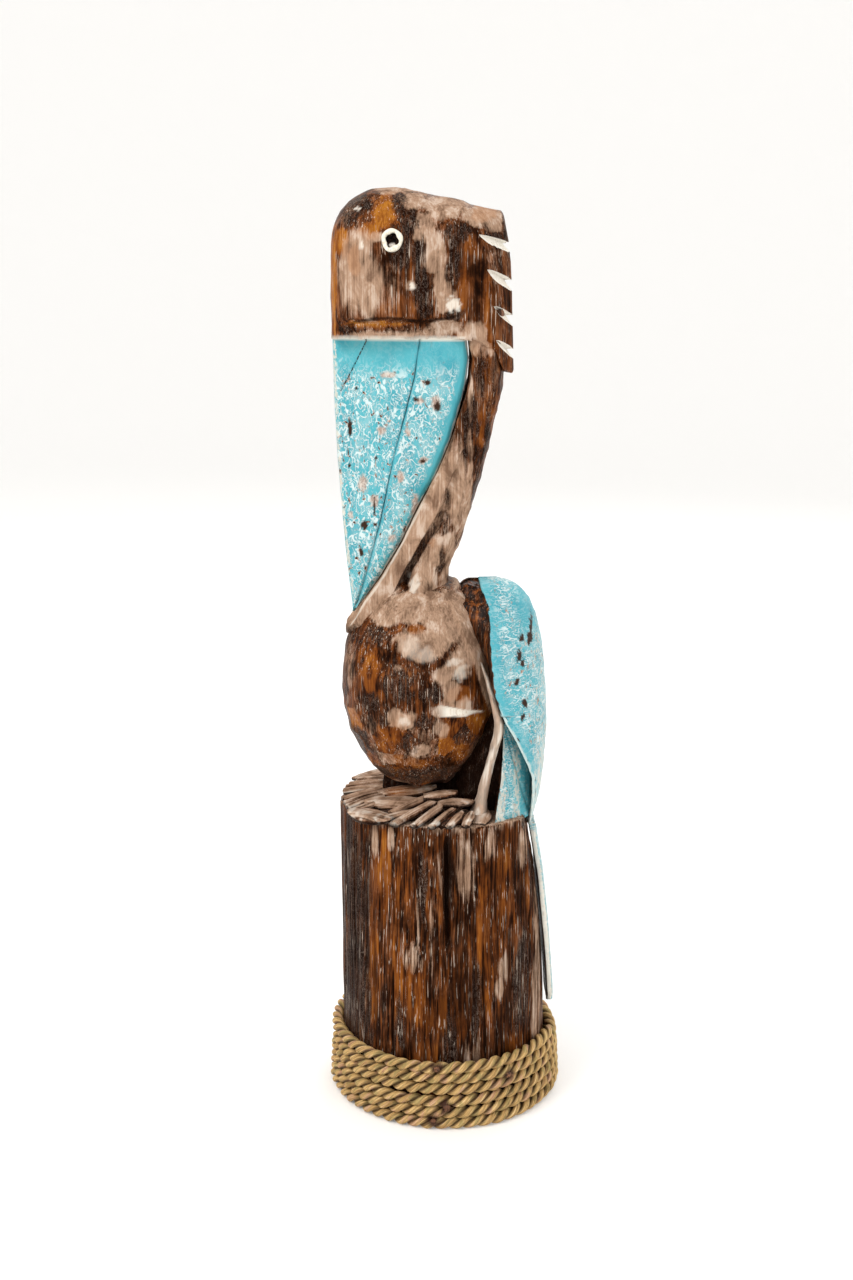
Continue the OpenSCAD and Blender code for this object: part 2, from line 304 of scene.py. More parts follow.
def wood_fibres(p, seed, width=1.5, length=42.0):
    """Grooves along Z between fibres, from -1 to 0."""
    q = p.copy()
    q[:, :2] += 2.2 * noise(p, (18, 18, 60), seed + 5)[:, None]
    fine = noise(q, (width, width, length), seed)
    broad = noise(q, (width * 2.6, width * 2.6, length * 1.6), seed + 1)
    return -np.clip(0.5 - 0.9 * (0.6 * fine + 0.4 * broad), 0, 1)


# ---------------------------------------------------------------- node graphs


class Value:
    """A node's output; sums, products, steps and ramps of it make more nodes."""

    def __init__(self, graph, socket):
        self.graph, self.socket = graph, socket

    def __add__(self, other):
        return self.graph.math("ADD", self, other)

    def __mul__(self, other):
        return self.graph.math("MULTIPLY", self, other)

    def __sub__(self, other):
        return self.graph.math("SUBTRACT", self, other)

    def __rsub__(self, other):
        return self.graph.math("SUBTRACT", other, self)

    def __abs__(self):
        return self.graph.math("ABSOLUTE", self)

    __radd__ = __add__

    def top(self, other):
        return self.graph.math("MAXIMUM", self, other)

    def step(self, low, high):
        n = self.graph.node("ShaderNodeMapRange", interpolation_type="SMOOTHSTEP")
        self.graph.feed(n.inputs["Value"], self)
        n.inputs["From Min"].default_value = low
        n.inputs["From Max"].default_value = high
        return Value(self.graph, n.outputs["Result"])

    def ramp(self, *stops):
        n = self.graph.node("ShaderNodeValToRGB")
        self.graph.feed(n.inputs["Fac"], self)
        marks = n.color_ramp.elements
        while len(marks) < len(stops):
            marks.new(0.5)
        for mark, (at, colour) in zip(marks, stops):
            mark.position = at
            mark.color = (*colour, 1)
        return Value(self.graph, n.outputs["Color"])


class Graph:
    """A short way to write a Principled material whose values come from nodes."""

    def __init__(self, name, **constants):
        self.material = bpy.data.materials.new(name)
        self.material.use_nodes = True
        self.tree = self.material.node_tree
        self.shader = self.tree.nodes["Principled BSDF"]
        for socket, value in constants.items():
            self.shader.inputs[socket.replace("_", " ")].default_value = value

    def feed(self, socket, value):
        if isinstance(value, Value):
            self.tree.links.new(value.socket, socket)
        else:
            socket.default_value = (*value, 1) if socket.type == "RGBA" else value

    def node(self, kind, **props):
        n = self.tree.nodes.new(kind)
        for k, v in props.items():
            setattr(n, k, v)
        return n

    def attributes(self, *names):
        return [Value(self, self.node("ShaderNodeAttribute", attribute_name=k).outputs["Fac"]) for k in names]

    def noise(self, stretch, detail=3, rough=0.55, bend=0.0, flow=None):
        """Noise with lumps of this size in millimetres, over the object or over a named vector of its points."""
        if flow:
            source = self.node("ShaderNodeAttribute", attribute_name=flow).outputs["Vector"]
        else:
            source = self.node("ShaderNodeTexCoord").outputs["Object"]
        place = self.node("ShaderNodeMapping")
        self.tree.links.new(source, place.inputs["Vector"])
        unit = 1 if flow else MM
        place.inputs["Scale"].default_value = [1 / (unit * s) for s in stretch]
        n = self.node("ShaderNodeTexNoise")
        self.tree.links.new(place.outputs["Vector"], n.inputs["Vector"])
        for name, value in (("Scale", 1), ("Detail", detail), ("Roughness", rough), ("Distortion", bend)):
            n.inputs[name].default_value = value
        return Value(self, n.outputs["Fac"])

    def math(self, operation, a, b=0.0):
        n = self.node("ShaderNodeMath", operation=operation)
        self.feed(n.inputs[0], a)
        self.feed(n.inputs[1], b)
        return Value(self, n.outputs[0])

    def mix(self, share, a, b):
        n = self.node("ShaderNodeMix", data_type="RGBA")
        self.feed(n.inputs[0], share)
        self.feed(n.inputs[6], a)
        self.feed(n.inputs[7], b)
        return Value(self, n.outputs[2])

    def finish(self, colour, roughness, height, distance_mm, strength):
        """Feeds the shader, with bumps of this height, and gives back the material."""
        bump = self.node("ShaderNodeBump")
        self.feed(bump.inputs["Height"], height)
        bump.inputs["Distance"].default_value = distance_mm * MM
        bump.inputs["Strength"].default_value = strength
        self.feed(self.shader.inputs["Base Color"], colour)
        self.feed(self.shader.inputs["Roughness"], roughness)
        self.tree.links.new(bump.outputs["Normal"], self.shader.inputs["Normal"])
        return self.material


BLACK_BROWN = (0.0075, 0.0022, 0.0008)
DARK_BROWN = (0.021, 0.0062, 0.0020)
MID_BROWN = (0.058, 0.0180, 0.0055)
ORANGE_BROWN = (0.125, 0.033, 0.0065)
ORANGE = (0.22, 0.066, 0.010)
AMBER = (0.38, 0.145, 0.020)
WASH_DEEP = (0.19, 0.110, 0.070)
WASH_BROWN = (0.33, 0.210, 0.140)
WASH_TAN = (0.40, 0.255, 0.170)
WASH_LIGHT = (0.56, 0.43, 0.34)
WASH_PALE = (0.62, 0.52, 0.43)
PEACH = (0.42, 0.225, 0.125)
BARE = (0.82, 0.77, 0.68)
TURQUOISE = (0.082, 0.385, 0.45)
TURQUOISE_DEEP = (0.050, 0.31, 0.38)
CRACKLE = (0.68, 0.76, 0.75)
DUST = (0.60, 0.50, 0.46)
WORN_PAINT = (0.62, 0.58, 0.50)
PRIMER = (0.66, 0.53, 0.45)
CHIP_PINK = (0.40, 0.205, 0.130)
CHIP_DARK = (0.035, 0.015, 0.008)
GREY_WISP = (0.26, 0.20, 0.165)


def stained_wood(name, lines=0.5, warmth=0.5, veil=0.2, streaks=0.5, shine=0.015, flow=None):
    """Dark stain with orange in it, pale hairlines in the grain, and whitewash, amber and dark where masked; the depth
    mask paints shade into hollows, the dark mask carries some painted shade, and the wash and bare masks some painted
    highlights.
    """
    g = Graph(name, Specular_IOR_Level=shine)
    wash, amber, dark, bare, depth = g.attributes("wash", "amber", "dark", "bare", "depth")
    grain = g.noise((1.0, 1.0, 28), 4, 0.62, 0.3, flow)
    broad = g.noise((4.5, 4.5, 44), 3, 0.6, 0.6, flow)
    cloud = g.noise((9, 9, 15), 4, 0.62, 0.5)
    speck = g.noise((0.55, 0.55, 1.1), 3, 0.7)
    tone = grain * streaks + broad * 0.30 + cloud * (0.70 - streaks)
    mid = 0.530 - 0.05 * warmth
    base = tone.ramp((mid - 0.090, BLACK_BROWN), (mid - 0.045, DARK_BROWN), (mid, MID_BROWN),
                     (mid + 0.055, ORANGE_BROWN), (mid + 0.12, ORANGE))
    glow = tone + amber * 0.22
    amber_tone = glow.ramp((0.50, DARK_BROWN), (0.57, ORANGE_BROWN), (0.67, ORANGE), (0.76, AMBER))
    amber_edge = amber + (broad - 0.5) * 1.2
    base = g.mix(amber_edge.step(0.15, 0.65), base, amber_tone)
    curl = abs(g.noise((2.4, 2.4, 4.5), 3, 0.6, 2.2) - 0.5).step(0.030, 0.008) * 0.42
    dark_tone = g.mix(curl, g.mix(grain.step(0.44, 0.60), BLACK_BROWN, DARK_BROWN), GREY_WISP)
    # dark stain; on the neck groove and the toes the dark mask is painted shade
    dark_edge = dark + (grain - 0.5) * -1.3
    base = g.mix(dark_edge.step(0.20, 0.9) * 0.90, base, dark_tone)
    hair = g.noise((0.55, 0.55, 17), 2, 0.5, 0.5).step(0.625, 0.685) * cloud.step(0.40, 0.56)
    base = g.mix(hair * lines, base, WASH_PALE)
    film = cloud.step(0.44, 0.66) * grain.step(0.38, 0.60) * (veil - amber * veil)
    base = g.mix(film, base, WASH_TAN)
    wash_edge = wash + (grain - 0.5) * (2.4 * streaks) + (speck - 0.5) * 0.45 - dark * 0.75
    cover = wash_edge.step(0.18, 0.85) * wash.step(0.0, 0.25)
    blot = cloud * (1 - streaks) + grain * streaks
    wash_tone = blot.ramp((0.40, WASH_DEEP), (0.47, WASH_BROWN), (0.52, WASH_TAN), (0.60, WASH_LIGHT))
    wash_tone = g.mix(amber.step(0.1, 0.8) * 0.45, wash_tone, PEACH)
    wash_tone = g.mix(speck.step(0.58, 0.72) * 0.18, wash_tone, MID_BROWN)
    # whitewash; on the torso the wash mask also holds painted highlights along edges
    base = g.mix(cover * 0.90, base, wash_tone)
    # pale bare wood; on the head and torso this mask also holds painted glints
    base = g.mix(bare, base, g.mix(grain.step(0.5, 0.66), BARE, WASH_PALE))
    # painted shade: hollows darken towards black where the depth mask is low
    base = g.mix(depth.step(-0.2, -1.0) * 0.9, base, BLACK_BROWN)
    rough = 0.24 + cover.top(bare) * 0.34 + speck * 0.14
    return g.finish(base, rough, grain * (2.0 * streaks) + speck * 0.35, 0.45, 0.8)


def crackled_paint(name, worm=(4.7, 4.7, 6.3), chips=1.0):
    """Turquoise paint with short white wrinkles, chips down to primer or wood, and clean bands where masked."""
    g = Graph(name, Specular_IOR_Level=0.12)
    clean, worn, bare, dark, chipped, pink = g.attributes("clean", "worn", "bare", "dark", "chip", "pink")
    busy = 1.0 - clean
    crowd = g.noise((9, 9, 12), 2, 0.55)
    broken = g.noise((2.3, 2.3, 3.4), 2, 0.6)
    flakes = g.noise((1.5, 1.5, 3.2), 4, 0.7)
    lumps = g.noise((2.8, 2.8, 4.4), 2.5, 0.6, 0.6)
    grain = g.noise((1.4, 1.4, 24), 3, 0.6, 0.3)
    thread = abs(g.noise(worm, 0.6, 0.5, 0.9) - 0.5).step(0.050, 0.020) * broken.step(0.40, 0.50)
    finer = (worm[0] * 0.72, worm[1] * 0.72, worm[2] * 0.66)
    second = abs(g.noise(finer, 0.6, 0.5, 1.2) - 0.46).step(0.052, 0.022) * broken.step(0.57, 0.47)
    dots = g.noise((0.85, 0.85, 1.2), 2, 0.6).step(0.60, 0.66)
    marks = thread.top(second).top(dots * 0.8) * (busy * crowd.step(0.20, 0.42))
    rubbed = (flakes + worn * 0.32).step(0.58, 0.72) * worn.step(0.0, 0.2)
    dusty = g.noise((1.6, 1.6, 2.6), 3, 0.65).step(0.52, 0.66) * busy
    pink = (lumps.step(0.635, 0.665) * busy).top(pink)
    deep = lumps.step(0.675, 0.69) * (busy * chips)
    colour = g.mix(g.noise((12, 12, 20), 3, 0.5).step(0.30, 0.60), TURQUOISE_DEEP, TURQUOISE)
    colour = g.mix(crowd.step(0.45, 0.70) * 0.20 * busy, colour, CRACKLE)
    colour = g.mix(dusty * 0.34, colour, DUST)
    colour = g.mix(marks * 0.80, colour, CRACKLE)
    colour = g.mix(rubbed * 0.85, colour, WORN_PAINT)
    colour = g.mix(pink * 0.9, colour, g.mix(flakes.step(0.44, 0.60), CHIP_PINK, PRIMER))
    colour = g.mix(deep.top(chipped), colour, CHIP_DARK)
    colour = g.mix(bare, colour, BARE)
    glow = grain * 0.5 + g.noise((3, 3, 24), 2) * 0.5
    dark_wood = glow.ramp((0.43, BLACK_BROWN), (0.49, DARK_BROWN), (0.54, MID_BROWN), (0.58, ORANGE_BROWN),
                          (0.64, ORANGE))
    hair = g.noise((0.7, 0.7, 16), 2, 0.5, 0.4).step(0.62, 0.68)
    dark_wood = g.mix(hair * 0.45, dark_wood, WASH_TAN)
    colour = g.mix(dark.step(0.25, 0.75), colour, dark_wood)
    rough = 0.36 + marks.top(pink) * 0.25
    return g.finish(colour, rough, marks * 0.6 - pink.top(deep) + grain * 0.25, 0.35, 0.9)


def eye_wood():
    """Rough dark recess, with a pale chip where the mask is low."""
    g = Graph("eye_wood", Specular_IOR_Level=0.03)
    grain = g.noise((0.8, 0.8, 1.2), 4, 0.65)
    hollow = grain.ramp((0.46, (0.0025, 0.0011, 0.0008)), (0.64, (0.024, 0.009, 0.005)))
    pale = grain.ramp((0.36, (0.24, 0.19, 0.16)), (0.50, (0.52, 0.47, 0.42)), (0.62, (0.68, 0.65, 0.60)))
    dark, = g.attributes("dark")
    return g.finish(g.mix(dark, pale, hollow), 0.45, grain, 0.3, 0.8)


def seagrass():
    """Straw fibres that run along each strand, each length its own tint, and painted shade where the strands meet."""
    g = Graph("seagrass_rope", Specular_IOR_Level=0.25)
    dark, stain = g.attributes("dark", "stain")
    fibre = g.noise((9.0, 0.50, 1.0), 4, 0.65, 0.2, "strand")
    blade = g.noise((22.0, 1.7, 1.0), 2, 0.5, 0.0, "strand")
    length = g.noise((7.0, 14.0, 1.0), 2, 0.5, 0.0, "strand")
    tone = fibre * 0.6 + blade * 0.4
    straw = tone.ramp((0.36, (0.20, 0.095, 0.028)), (0.45, (0.42, 0.245, 0.085)), (0.53, (0.62, 0.400, 0.155)),
                      (0.64, (0.84, 0.61, 0.31)))
    olive = tone.ramp((0.36, (0.14, 0.08, 0.03)), (0.50, (0.37, 0.255, 0.09)), (0.64, (0.58, 0.44, 0.19)))
    pink = tone.ramp((0.36, (0.24, 0.11, 0.05)), (0.50, (0.52, 0.29, 0.15)), (0.64, (0.72, 0.50, 0.31)))
    colour = g.mix(length.step(0.53, 0.60), straw, olive)
    colour = g.mix(length.step(0.44, 0.37), colour, pink)
    # painted shade on the inner side of each strand, where the strands meet
    colour = g.mix(dark, colour, (0.022, 0.008, 0.003))
    colour = g.mix(stain, colour, (0.045, 0.015, 0.006))
    return g.finish(colour, 0.50 + fibre * 0.25, fibre + blade * 0.6, 0.5, 0.9)


def rusty_steel():
    g = Graph("tack_steel", Metallic=0.35)
    patch = g.noise((1.2, 1.2, 1.2), 4, 0.65)
    colour = patch.ramp((0.35, (0.03, 0.012, 0.006)), (0.52, (0.12, 0.045, 0.018)), (0.68, (0.28, 0.12, 0.05)))
    return g.finish(colour, 0.38 + patch * 0.4, patch, 0.2, 0.8)


def cream_enamel():
    g = Graph("eye_cream", Coat_Weight=0.3, Coat_Roughness=0.2)
    brushed = g.noise((0.8, 0.8, 1.4), 4, 0.65)
    worn = g.noise((0.9, 0.9, 0.9), 4, 0.7).step(0.60, 0.68)
    colour = brushed.ramp((0.35, (0.62, 0.55, 0.42)), (0.6, (0.84, 0.80, 0.69)))
    colour = g.mix(worn * 0.8, colour, (0.30, 0.20, 0.13))
    return g.finish(colour, 0.35, brushed, 0.15, 0.6)


# ---------------------------------------------------------------- pieces


def settle(obj, material, slot_name, *nodes):
    """Gives a piece its material and its body, and hides the CAD nodes that it stands for; slot_name is not used."""
    obj.data.materials.clear()
    obj.data.materials.append(material)
    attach(obj, "root")
    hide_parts(*nodes)


def post_section(z, count, inset):
    """The log's outline at a height: round, narrowed at the top and cut flat at the back."""
    t = circle(count)
    w = LOG_R + (POST_TOP_HALF_W - LOG_R) * z / POST_TOP - inset
    x, y = w * np.cos(t), (LOG_R - inset) * np.sin(t)
    back = along(POST_BACK, z) - inset
    over = y - back
    y = np.where(over > -4, back - 4 + 4 * (1 - np.exp(-(over + 4) / 4)), y)
    return np.column_stack([x, y])


def make_post(material):
    sides = 600
    heights = [(0.0, 1.6), (0.5, 0.7), (1.4, 0.0)] + [(z, 0.0) for z in np.linspace(3, POST_TOP - 2.2, 120)]
    heights += [(POST_TOP - 1.2, 0.15), (POST_TOP - 0.4, 0.8), (POST_TOP, 2.0)]
    post = loft("post", [at_height(post_section(z, sides, i), z) for z, i in heights], 16)
    p, n = get_points(post), get_normals(post)
    x, y, z = p.T
    side = smooth(1 - abs(n[:, 2]), 0.2, 0.8)
    angle = np.degrees(np.arctan2(y, x))
    fibres = wood_fibres(p, 11, 1.3, 38)
    amount = 0.9 * rough_noise(p, (26, 26, 70), 3) + 0.75 * fibres + 0.8 * wood_fibres(p, 12, 4.0, 80)
    cracks = np.zeros(len(p))
    for k, (at, low, high, width, depth) in enumerate(CRACKS):
        wander = 0.9 * noise(p * [0, 0, 1], (9, 9, 16), k + 1)
        span = smooth(z, low, low + 22) * smooth(z, high, high - 14)
        cracks = np.maximum(cracks, depth * np.exp(-((angle - at - wander) / width) ** 2) * span)
    knots = patches(p, [(-18, 95, 5, 9)], 21, 0.3, 4, 0.2) * (x > 0)
    ragged = smooth(z, POST_TOP - 9, POST_TOP - 1) * noise(p, (2.6, 2.6, 9), 22)
    amount = (amount - cracks + 0.9 * knots + 0.6 * ragged) * side
    push(post, amount + gouges(p, 8, 9.0, 1.0, (1 - side) * (z > 100))[0])
    near = [(-18, 95, 4.6, 9.5), (10.7, 150, 4.6, 20), (-2.5, 150, 2.6, 13), (33, 86, 3.6, 9), (30, 76, 3.2, 6),
            (-40, 158, 3.2, 9), (42, 152, 3.4, 12), (-30, 160, 2.2, 8), (24, 158, 4, 10), (17, 30, 2.6, 26),
            (12, 24, 2.4, 22), (52, 60, 3.6, 70), (-8, 105, 1.4, 20), (-14, 120, 1.4, 16), (-52, 110, 3, 40)]
    far = [(-30, 60, 6, 20), (10, 130, 5, 26), (30, 40, 6, 18), (-44, 140, 4, 20), (-6, 30, 4, 20), (40, 120, 5, 30)]
    streaky = (2.2, 2.2, 15.0)
    wash = np.where(x > 0, patches(p, near, 31, 0.8, streaky), patches(p, far, 32, 0.8, streaky))
    edge = smooth(z, POST_TOP - 8, POST_TOP - 1) * (0.35 + 0.5 * noise(p, (3, 3, 8), 35))
    top = smooth(side, 0.8, 0.2) * 0.7
    amber = [(-6, 62, 10, 14), (-17, 72, 7, 18), (21, 100, 4.5, 50), (-33, 135, 4, 26), (-41, 82, 5, 30),
             (-10, 28, 8, 26), (-26, 100, 4, 40), (30, 140, 4, 24), (-50, 40, 4, 30), (40, 30, 5, 24)]
    dark = [(-50, 85, 9, 90), (1, 138, 3.2, 34), (-25, 56, 3.2, 18), (-13, 135, 3, 22), (17, 72, 3, 24),
            (42, 74, 6, 30), (-52, 120, 6, 50), (-30, 20, 6, 22), (3, 40, 4, 30)]
    # depth: painted shade that darkens the cracks and the grooves between the fibres
    masks(post, wash=np.clip(most(wash * (1 + 0.7 * fibres) * 0.95, edge, top), 0, 1),
          amber=patches(p, amber, 33, 0.8, (2.6, 2.6, 20.0)) * 0.52,
          dark=patches(p, dark, 34, 0.7, (2.6, 2.6, 20.0)) * 0.9, depth=np.clip((amount - 0.1) / 2.0, -1, 1))
    settle(post, material, "post_wood", "post", "neck_dowel", "head_dowel", "rump_dowels", "wing_dowels")


def torso_radius(z):
    half_h = np.where(z < TORSO_Z, TORSO_DOWN, TORSO_UP)
    return TORSO_R * np.sqrt(np.clip(1 - ((z - TORSO_Z) / half_h) ** 2, 0, 1))


def make_torso(material):
    t = circle(340)
    rings = []
    for a in np.linspace(-1.12, 1.40, 210):
        z = TORSO_Z + (TORSO_DOWN if a < 0 else TORSO_UP) * math.sin(a)
        r = float(torso_radius(z))
        rings.append(at_height(np.column_stack([r * np.cos(t), TORSO_Y + r * np.sin(t)]), z))
    torso = loft("torso", rings, 20)
    p = get_points(torso)
    x, y, z = p.T
    low_part = smooth(z, 242, 218)
    facets, pick = gouges(p, 5, 9.5, 2.3, 0.18 + 0.82 * low_part)
    facets = facets + 0.8 * low_part
    amount = facets + gouges(p, 6, 17.0, 1.2, 1 - low_part)[0]
    amount += 0.5 * rough_noise(p, 13, 7) + 0.3 * wood_fibres(p, 9, 1.2, 18) * (1 - 0.7 * low_part)
    # the pale cut under the shoulder, then the rim beside the wing and the ridge under the neck
    blade = np.clip((22.6 - y) / 26.6, 0, 1)
    middle = 226.2 + 5.0 * blade
    half = 3.7 * blade ** 0.8 * smooth(y, -7.5, -2.8)
    inside = (half - abs(z - middle)) * (abs(x) > 15)
    cut = smooth(inside, -0.1, 0.5) * (half > 0.05)
    # the rim beside the wing is raised, and later made pale in the wash mask as a painted highlight
    rim_y = np.interp(z, [222, 230, 240, 254, 267, 283, 290], [28.5, 26.5, 23.2, 19.2, 14.0, 7.0, 3.5])
    rim = smooth(y, rim_y - 4.6, rim_y - 2.6) * smooth(z, 221, 226) * smooth(z, 292, 286)
    shoulder_y = np.interp(z, [270, 280, 284, 290, 292], [-34, -27, -20, -1, 6])
    ridge = np.exp(-((y - shoulder_y) / 2.4) ** 2) * smooth(z, 272, 280)
    push(torso, amount - 1.6 * cut * np.clip(inside / 1.6, 0, 1) + 1.1 * rim + 1.2 * ridge)
    wash = patches(p, [(1, 277, 15, 11), (-9, 268, 14, 9), (-17, 266, 10, 8), (9, 257, 9, 9), (13, 268, 6, 12),
                       (0, 250, 6, 6), (10, 232, 4, 5), (-12, 286, 26, 8), (-33, 281, 9, 6), (2, 243, 5, 8),
                       (-24, 226, 8, 6), (-3, 221, 4.5, 7), (-14, 208, 5.5, 4.5), (-1, 231, 6, 5),
                       (-26, 254, 4, 4)], 41, 0.6, 4.5, 0.5)
    breast = patches(p, [(-53, 250, 3.5, 16), (-52, 224, 3, 12)], 47, 0.6, 4.5, 0.5) * 0.42
    # painted highlight: a pale line along the lower back edge, put into the wash mask
    low_rim_highlight = patches(p, [(22, 204, 2.2, 5), (17.5, 194, 2.6, 5), (11, 186.5, 3.4, 2.6)], 48, 0.4, 3.0, 0.5) * 0.9
    pale_facets = low_part * np.select([pick > 0.90, pick > 0.70], [0.62, 0.36], 0)
    # painted highlights: small pale spots put into the bare mask
    highlight_spots = patches(p, [(8, 251, 4, 4), (-22.5, 225, 3, 2), (5, 257, 4, 2)], 44, 0.9, 2.0) * 0.38
    pale = patches(p, [(-19, 266, 5, 5.5), (-11, 262, 5, 4)], 46, 0.5, 2.5) * 0.22
    ring = np.hypot((y + 41.5) / 7.5, (z - 250) / 16.5)
    amber = patches(p, [(-41.5, 250, 7.5, 16), (8, 239, 8, 5), (8, 204, 8, 6), (-16, 275, 6, 3), (-30, 217, 9, 7),
                        (-36, 238, 3, 5), (18, 216, 6, 7), (-18, 199, 8, 5), (-28, 201, 6, 5)], 42, 0.5, 5.0)
    amber = amber * (1 - 0.45 * smooth(np.sin(ring * 11 + 1.5 * noise(p, 6, 45)), 0.3, 0.9) * (ring < 1.2))
    amber_facets = low_part * np.select([(pick > 0.22) & (pick < 0.36), (pick > 0.36) & (pick < 0.62)],
                                        [0.85, 0.48], 0)
    dark = patches(p, [(-24, 247, 10, 12), (-40, 234, 6, 5), (-10, 190, 22, 7), (-12, 226, 4.5, 5), (-50, 205, 8, 14),
                       (-30, 190, 16, 6), (14, 190, 10, 6), (-38, 270, 8, 5), (-8, 240, 8, 4)], 43, 0.6, 4.0)
    # painted shade: the edges between the low facets, and the gouges, darken through the depth mask
    seams = low_part * smooth((facets - 0.8 * low_part) / (0.42 + 1.88 * low_part), -0.28, -0.02)
    # wash here is whitewash, with painted highlights along the rim beside the wing and the lower back edge
    masks(torso, wash=np.clip(most(wash, breast, low_rim_highlight, rim * 0.9, ridge * 0.8, pale_facets), 0, 1),
          amber=most(amber * 0.58, amber_facets),
          dark=np.clip(most(dark * 0.75, low_part * (pick < 0.14) * 0.6), 0, 1),
          depth=np.minimum(np.clip(amount / 3.4, -1, 1) * 0.35, -0.80 * seams),
          bare=most(cut * 0.9 * smooth(y, -6, 2), highlight_spots, pale))
    settle(torso, material, "torso_wood", "torso")


def make_rump(material):
    """Dark wood left between the body, the legs and the log, with a low bed under the breast."""
    rings = []
    for z in np.linspace(POST_H - 0.5, 226, 66):
        bed = between(z, [167, 184, 190, 206, 226], [-38, -36, 0, 10, 20])
        mid = max(bed + 1.0, between(z, [167, 190, 206, 226], [2, 4, 11, 21]))
        half = [(0, bed), (3, bed + 0.5), (6, min(bed + 7, mid)), (8, mid - 0.5), (19, mid + 4), (24, mid + 9),
                (26, 31.5), (0, 32)]
        rings.append(at_height(section(mirrored(half), 180), z))
    rump = loft("rump", rings)
    p = get_points(rump)
    amount = gouges(p, 14, 6.0, 1.4)[0] + 0.3 * wood_fibres(p, 15)
    push(rump, amount)
    # depth: painted shade that darkens the gouges
    masks(rump, dark=1.0, depth=np.clip(amount / 1.6, -1, 0.2))
    settle(rump, material, "dark_wood", "rump")


def neck_half(z):
    """Half the neck's outline: a pale strip beside the bill, a groove, then the round column."""
    front = float(along(BILL_BACK, z)) + 0.2
    back = float(along(NECK_BACK, z))
    strip_w = between(z, [264, 268, 273, 280, 300, 330, 370, 424], [7, 11.5, 15.5, 17.4, 18, 20.5, 24, 29])
    w = between(z, [264, 276, 288, 300, 330, 370, 395, 410, 440], [30, 27, 23.5, 21.5, 22.5, 25.5, 28.6, 30.4, 30.8])
    strip_end = min(float(along(STRIP_EDGE, z)), back - 6)
    groove = between(z, [272, 290, 322, 345, 375], [3.0, 4.4, 3.4, 1.2, 0.0])
    half = [(0, front), (strip_w - 1.0, front), (strip_w + 0.8, front + 1.4), (strip_w + 1.8, strip_end - 1.4),
            (strip_w + 1.0, strip_end), (min(strip_w + 1.2, w) - groove, strip_end + 1.7)]
    round_from = strip_end + 2.4
    span = back - round_from
    half += [(w - 0.7, round_from + span * 0.12), (w, round_from + span * 0.26), (w, round_from + span * 0.42)]
    for k in range(2, 9):
        a = math.radians(90 * k / 8)
        half.append((w * math.cos(a) ** 0.68 if k < 8 else 0.0, round_from + span * (0.42 + 0.58 * math.sin(a) ** 1.2)))
    return half


def make_neck(material):
    heights = np.linspace(NECK_LOW, NECK_TOP, 185)
    neck = loft("neck", [at_height(section(mirrored(neck_half(z)), 300), z) for z in heights], 8)
    p = get_points(neck)
    x, y, z = p.T
    front = along(BILL_BACK, z)
    past_strip = y - along(STRIP_EDGE, z)
    strip = smooth(past_strip, 0.7, -0.7) * smooth(z, 404, 380)
    flare = 2.2 * smooth(z, 292, 268) * np.clip(noise(p, (5, 5, 30), 27), -0.3, 1)
    amount = gouges(p, 24, 13.0, 1.5, 1 - 0.8 * strip)[0] + 0.6 * rough_noise(p, 9, 25)
    amount += 0.4 * wood_fibres(p, 26, 1.3, 28) + flare
    inside = smooth(z, CHIN_Z + 2, CHIN_Z + 9)
    push(neck, amount * (1 - inside) - 0.8 * inside)
    # from here on the heights wander at the back, so that the masks don't make level bands there
    z += 20 * noise(p, (9, 9, 26), 56) * smooth(abs(x), 20, 12) * smooth(y, 0, 8)
    wash = patches(p, [(-4, 316, 9, 18), (-14, 300, 12, 14), (3, 336, 9, 14), (9, 352, 7, 14), (-22, 290, 16, 12),
                       (12, 370, 2.5, 12), (12, 426, 7, 7), (16, 420, 7, 6), (-6, 286, 24, 10), (4, 310, 6, 12),
                       (13, 334, 7, 10), (12, 392, 1.5, 16)], 51, 0.7, (3.2, 3.2, 6.5), 0.5)
    dark = patches(p, [(0.5, 341, 2.2, 8), (-1, 330, 4.0, 5), (-1.5, 325, 5.5, 3.5), (-1.5, 310, 1.8, 7),
                       (-3, 303, 2.5, 3), (17, 352, 3.0, 20), (22, 380, 2.6, 24), (18, 405, 4, 14), (14, 385, 3.5, 14),
                       (10, 372, 2, 16), (24, 405, 4, 10)], 52, 0.8, (2.4, 2.4, 7.0), 0.35)
    # painted shade: the groove beside the pale strip darkens through the dark and depth masks, and the gouges through
    # the depth mask
    groove = smooth(abs(past_strip - 1.8), 1.7, 0.5) * smooth(z, 334, 318)
    low_end = smooth(z, 275, 267) * smooth(y, -30, -38) * 0.75
    amber = patches(p, [(24, 396, 5, 30), (16, 412, 7, 10), (28, 360, 3, 24), (18, 380, 4, 16)], 53, 0.6, (3, 3, 12))
    amber = most(amber * 0.42, patches(p, [(-12.5, 330, 2.5, 5), (-8, 318, 2, 3)], 55, 0.6, 2.0) * 0.6)
    fleck = patches(p, [(-17.5, 295, 3.2, 4.5)], 54, 0.8, 1.6, 0.3)
    seam = strip * smooth(y - front, 1.6, 0.6) * smooth(z, 345, 335) * smooth(abs(x), 12.5, 15)
    masks(neck, wash=most(wash * 0.85, strip * smooth(z, 392, 350) * 0.9), amber=amber * (1 - 0.5 * strip),
          dark=most(dark * 0.62, low_end, groove * 0.72),
          depth=np.minimum(np.clip(amount / 3.2, -1, 1) * 0.5, -0.6 * groove), bare=most(seam * 0.45, fleck * 0.55))
    settle(neck, material, "neck_wood", "neck")


def crown_height(y):
    return CROWN_Z + along(CROWN, y)


def head_half_width(y):
    """Half width of the head at its side, by distance along it."""
    y = np.asarray(y, float)
    behind = HEAD_HALF_W - 0.0022 * np.clip(y + 22, 0, None) ** 2
    reach = np.clip((-22 - y) / (-22 - HEAD_FRONT), 0, 1)
    return np.where(y > -22, behind, HEAD_HALF_W * (1 - reach ** 2.7) ** (1 / 2.5))


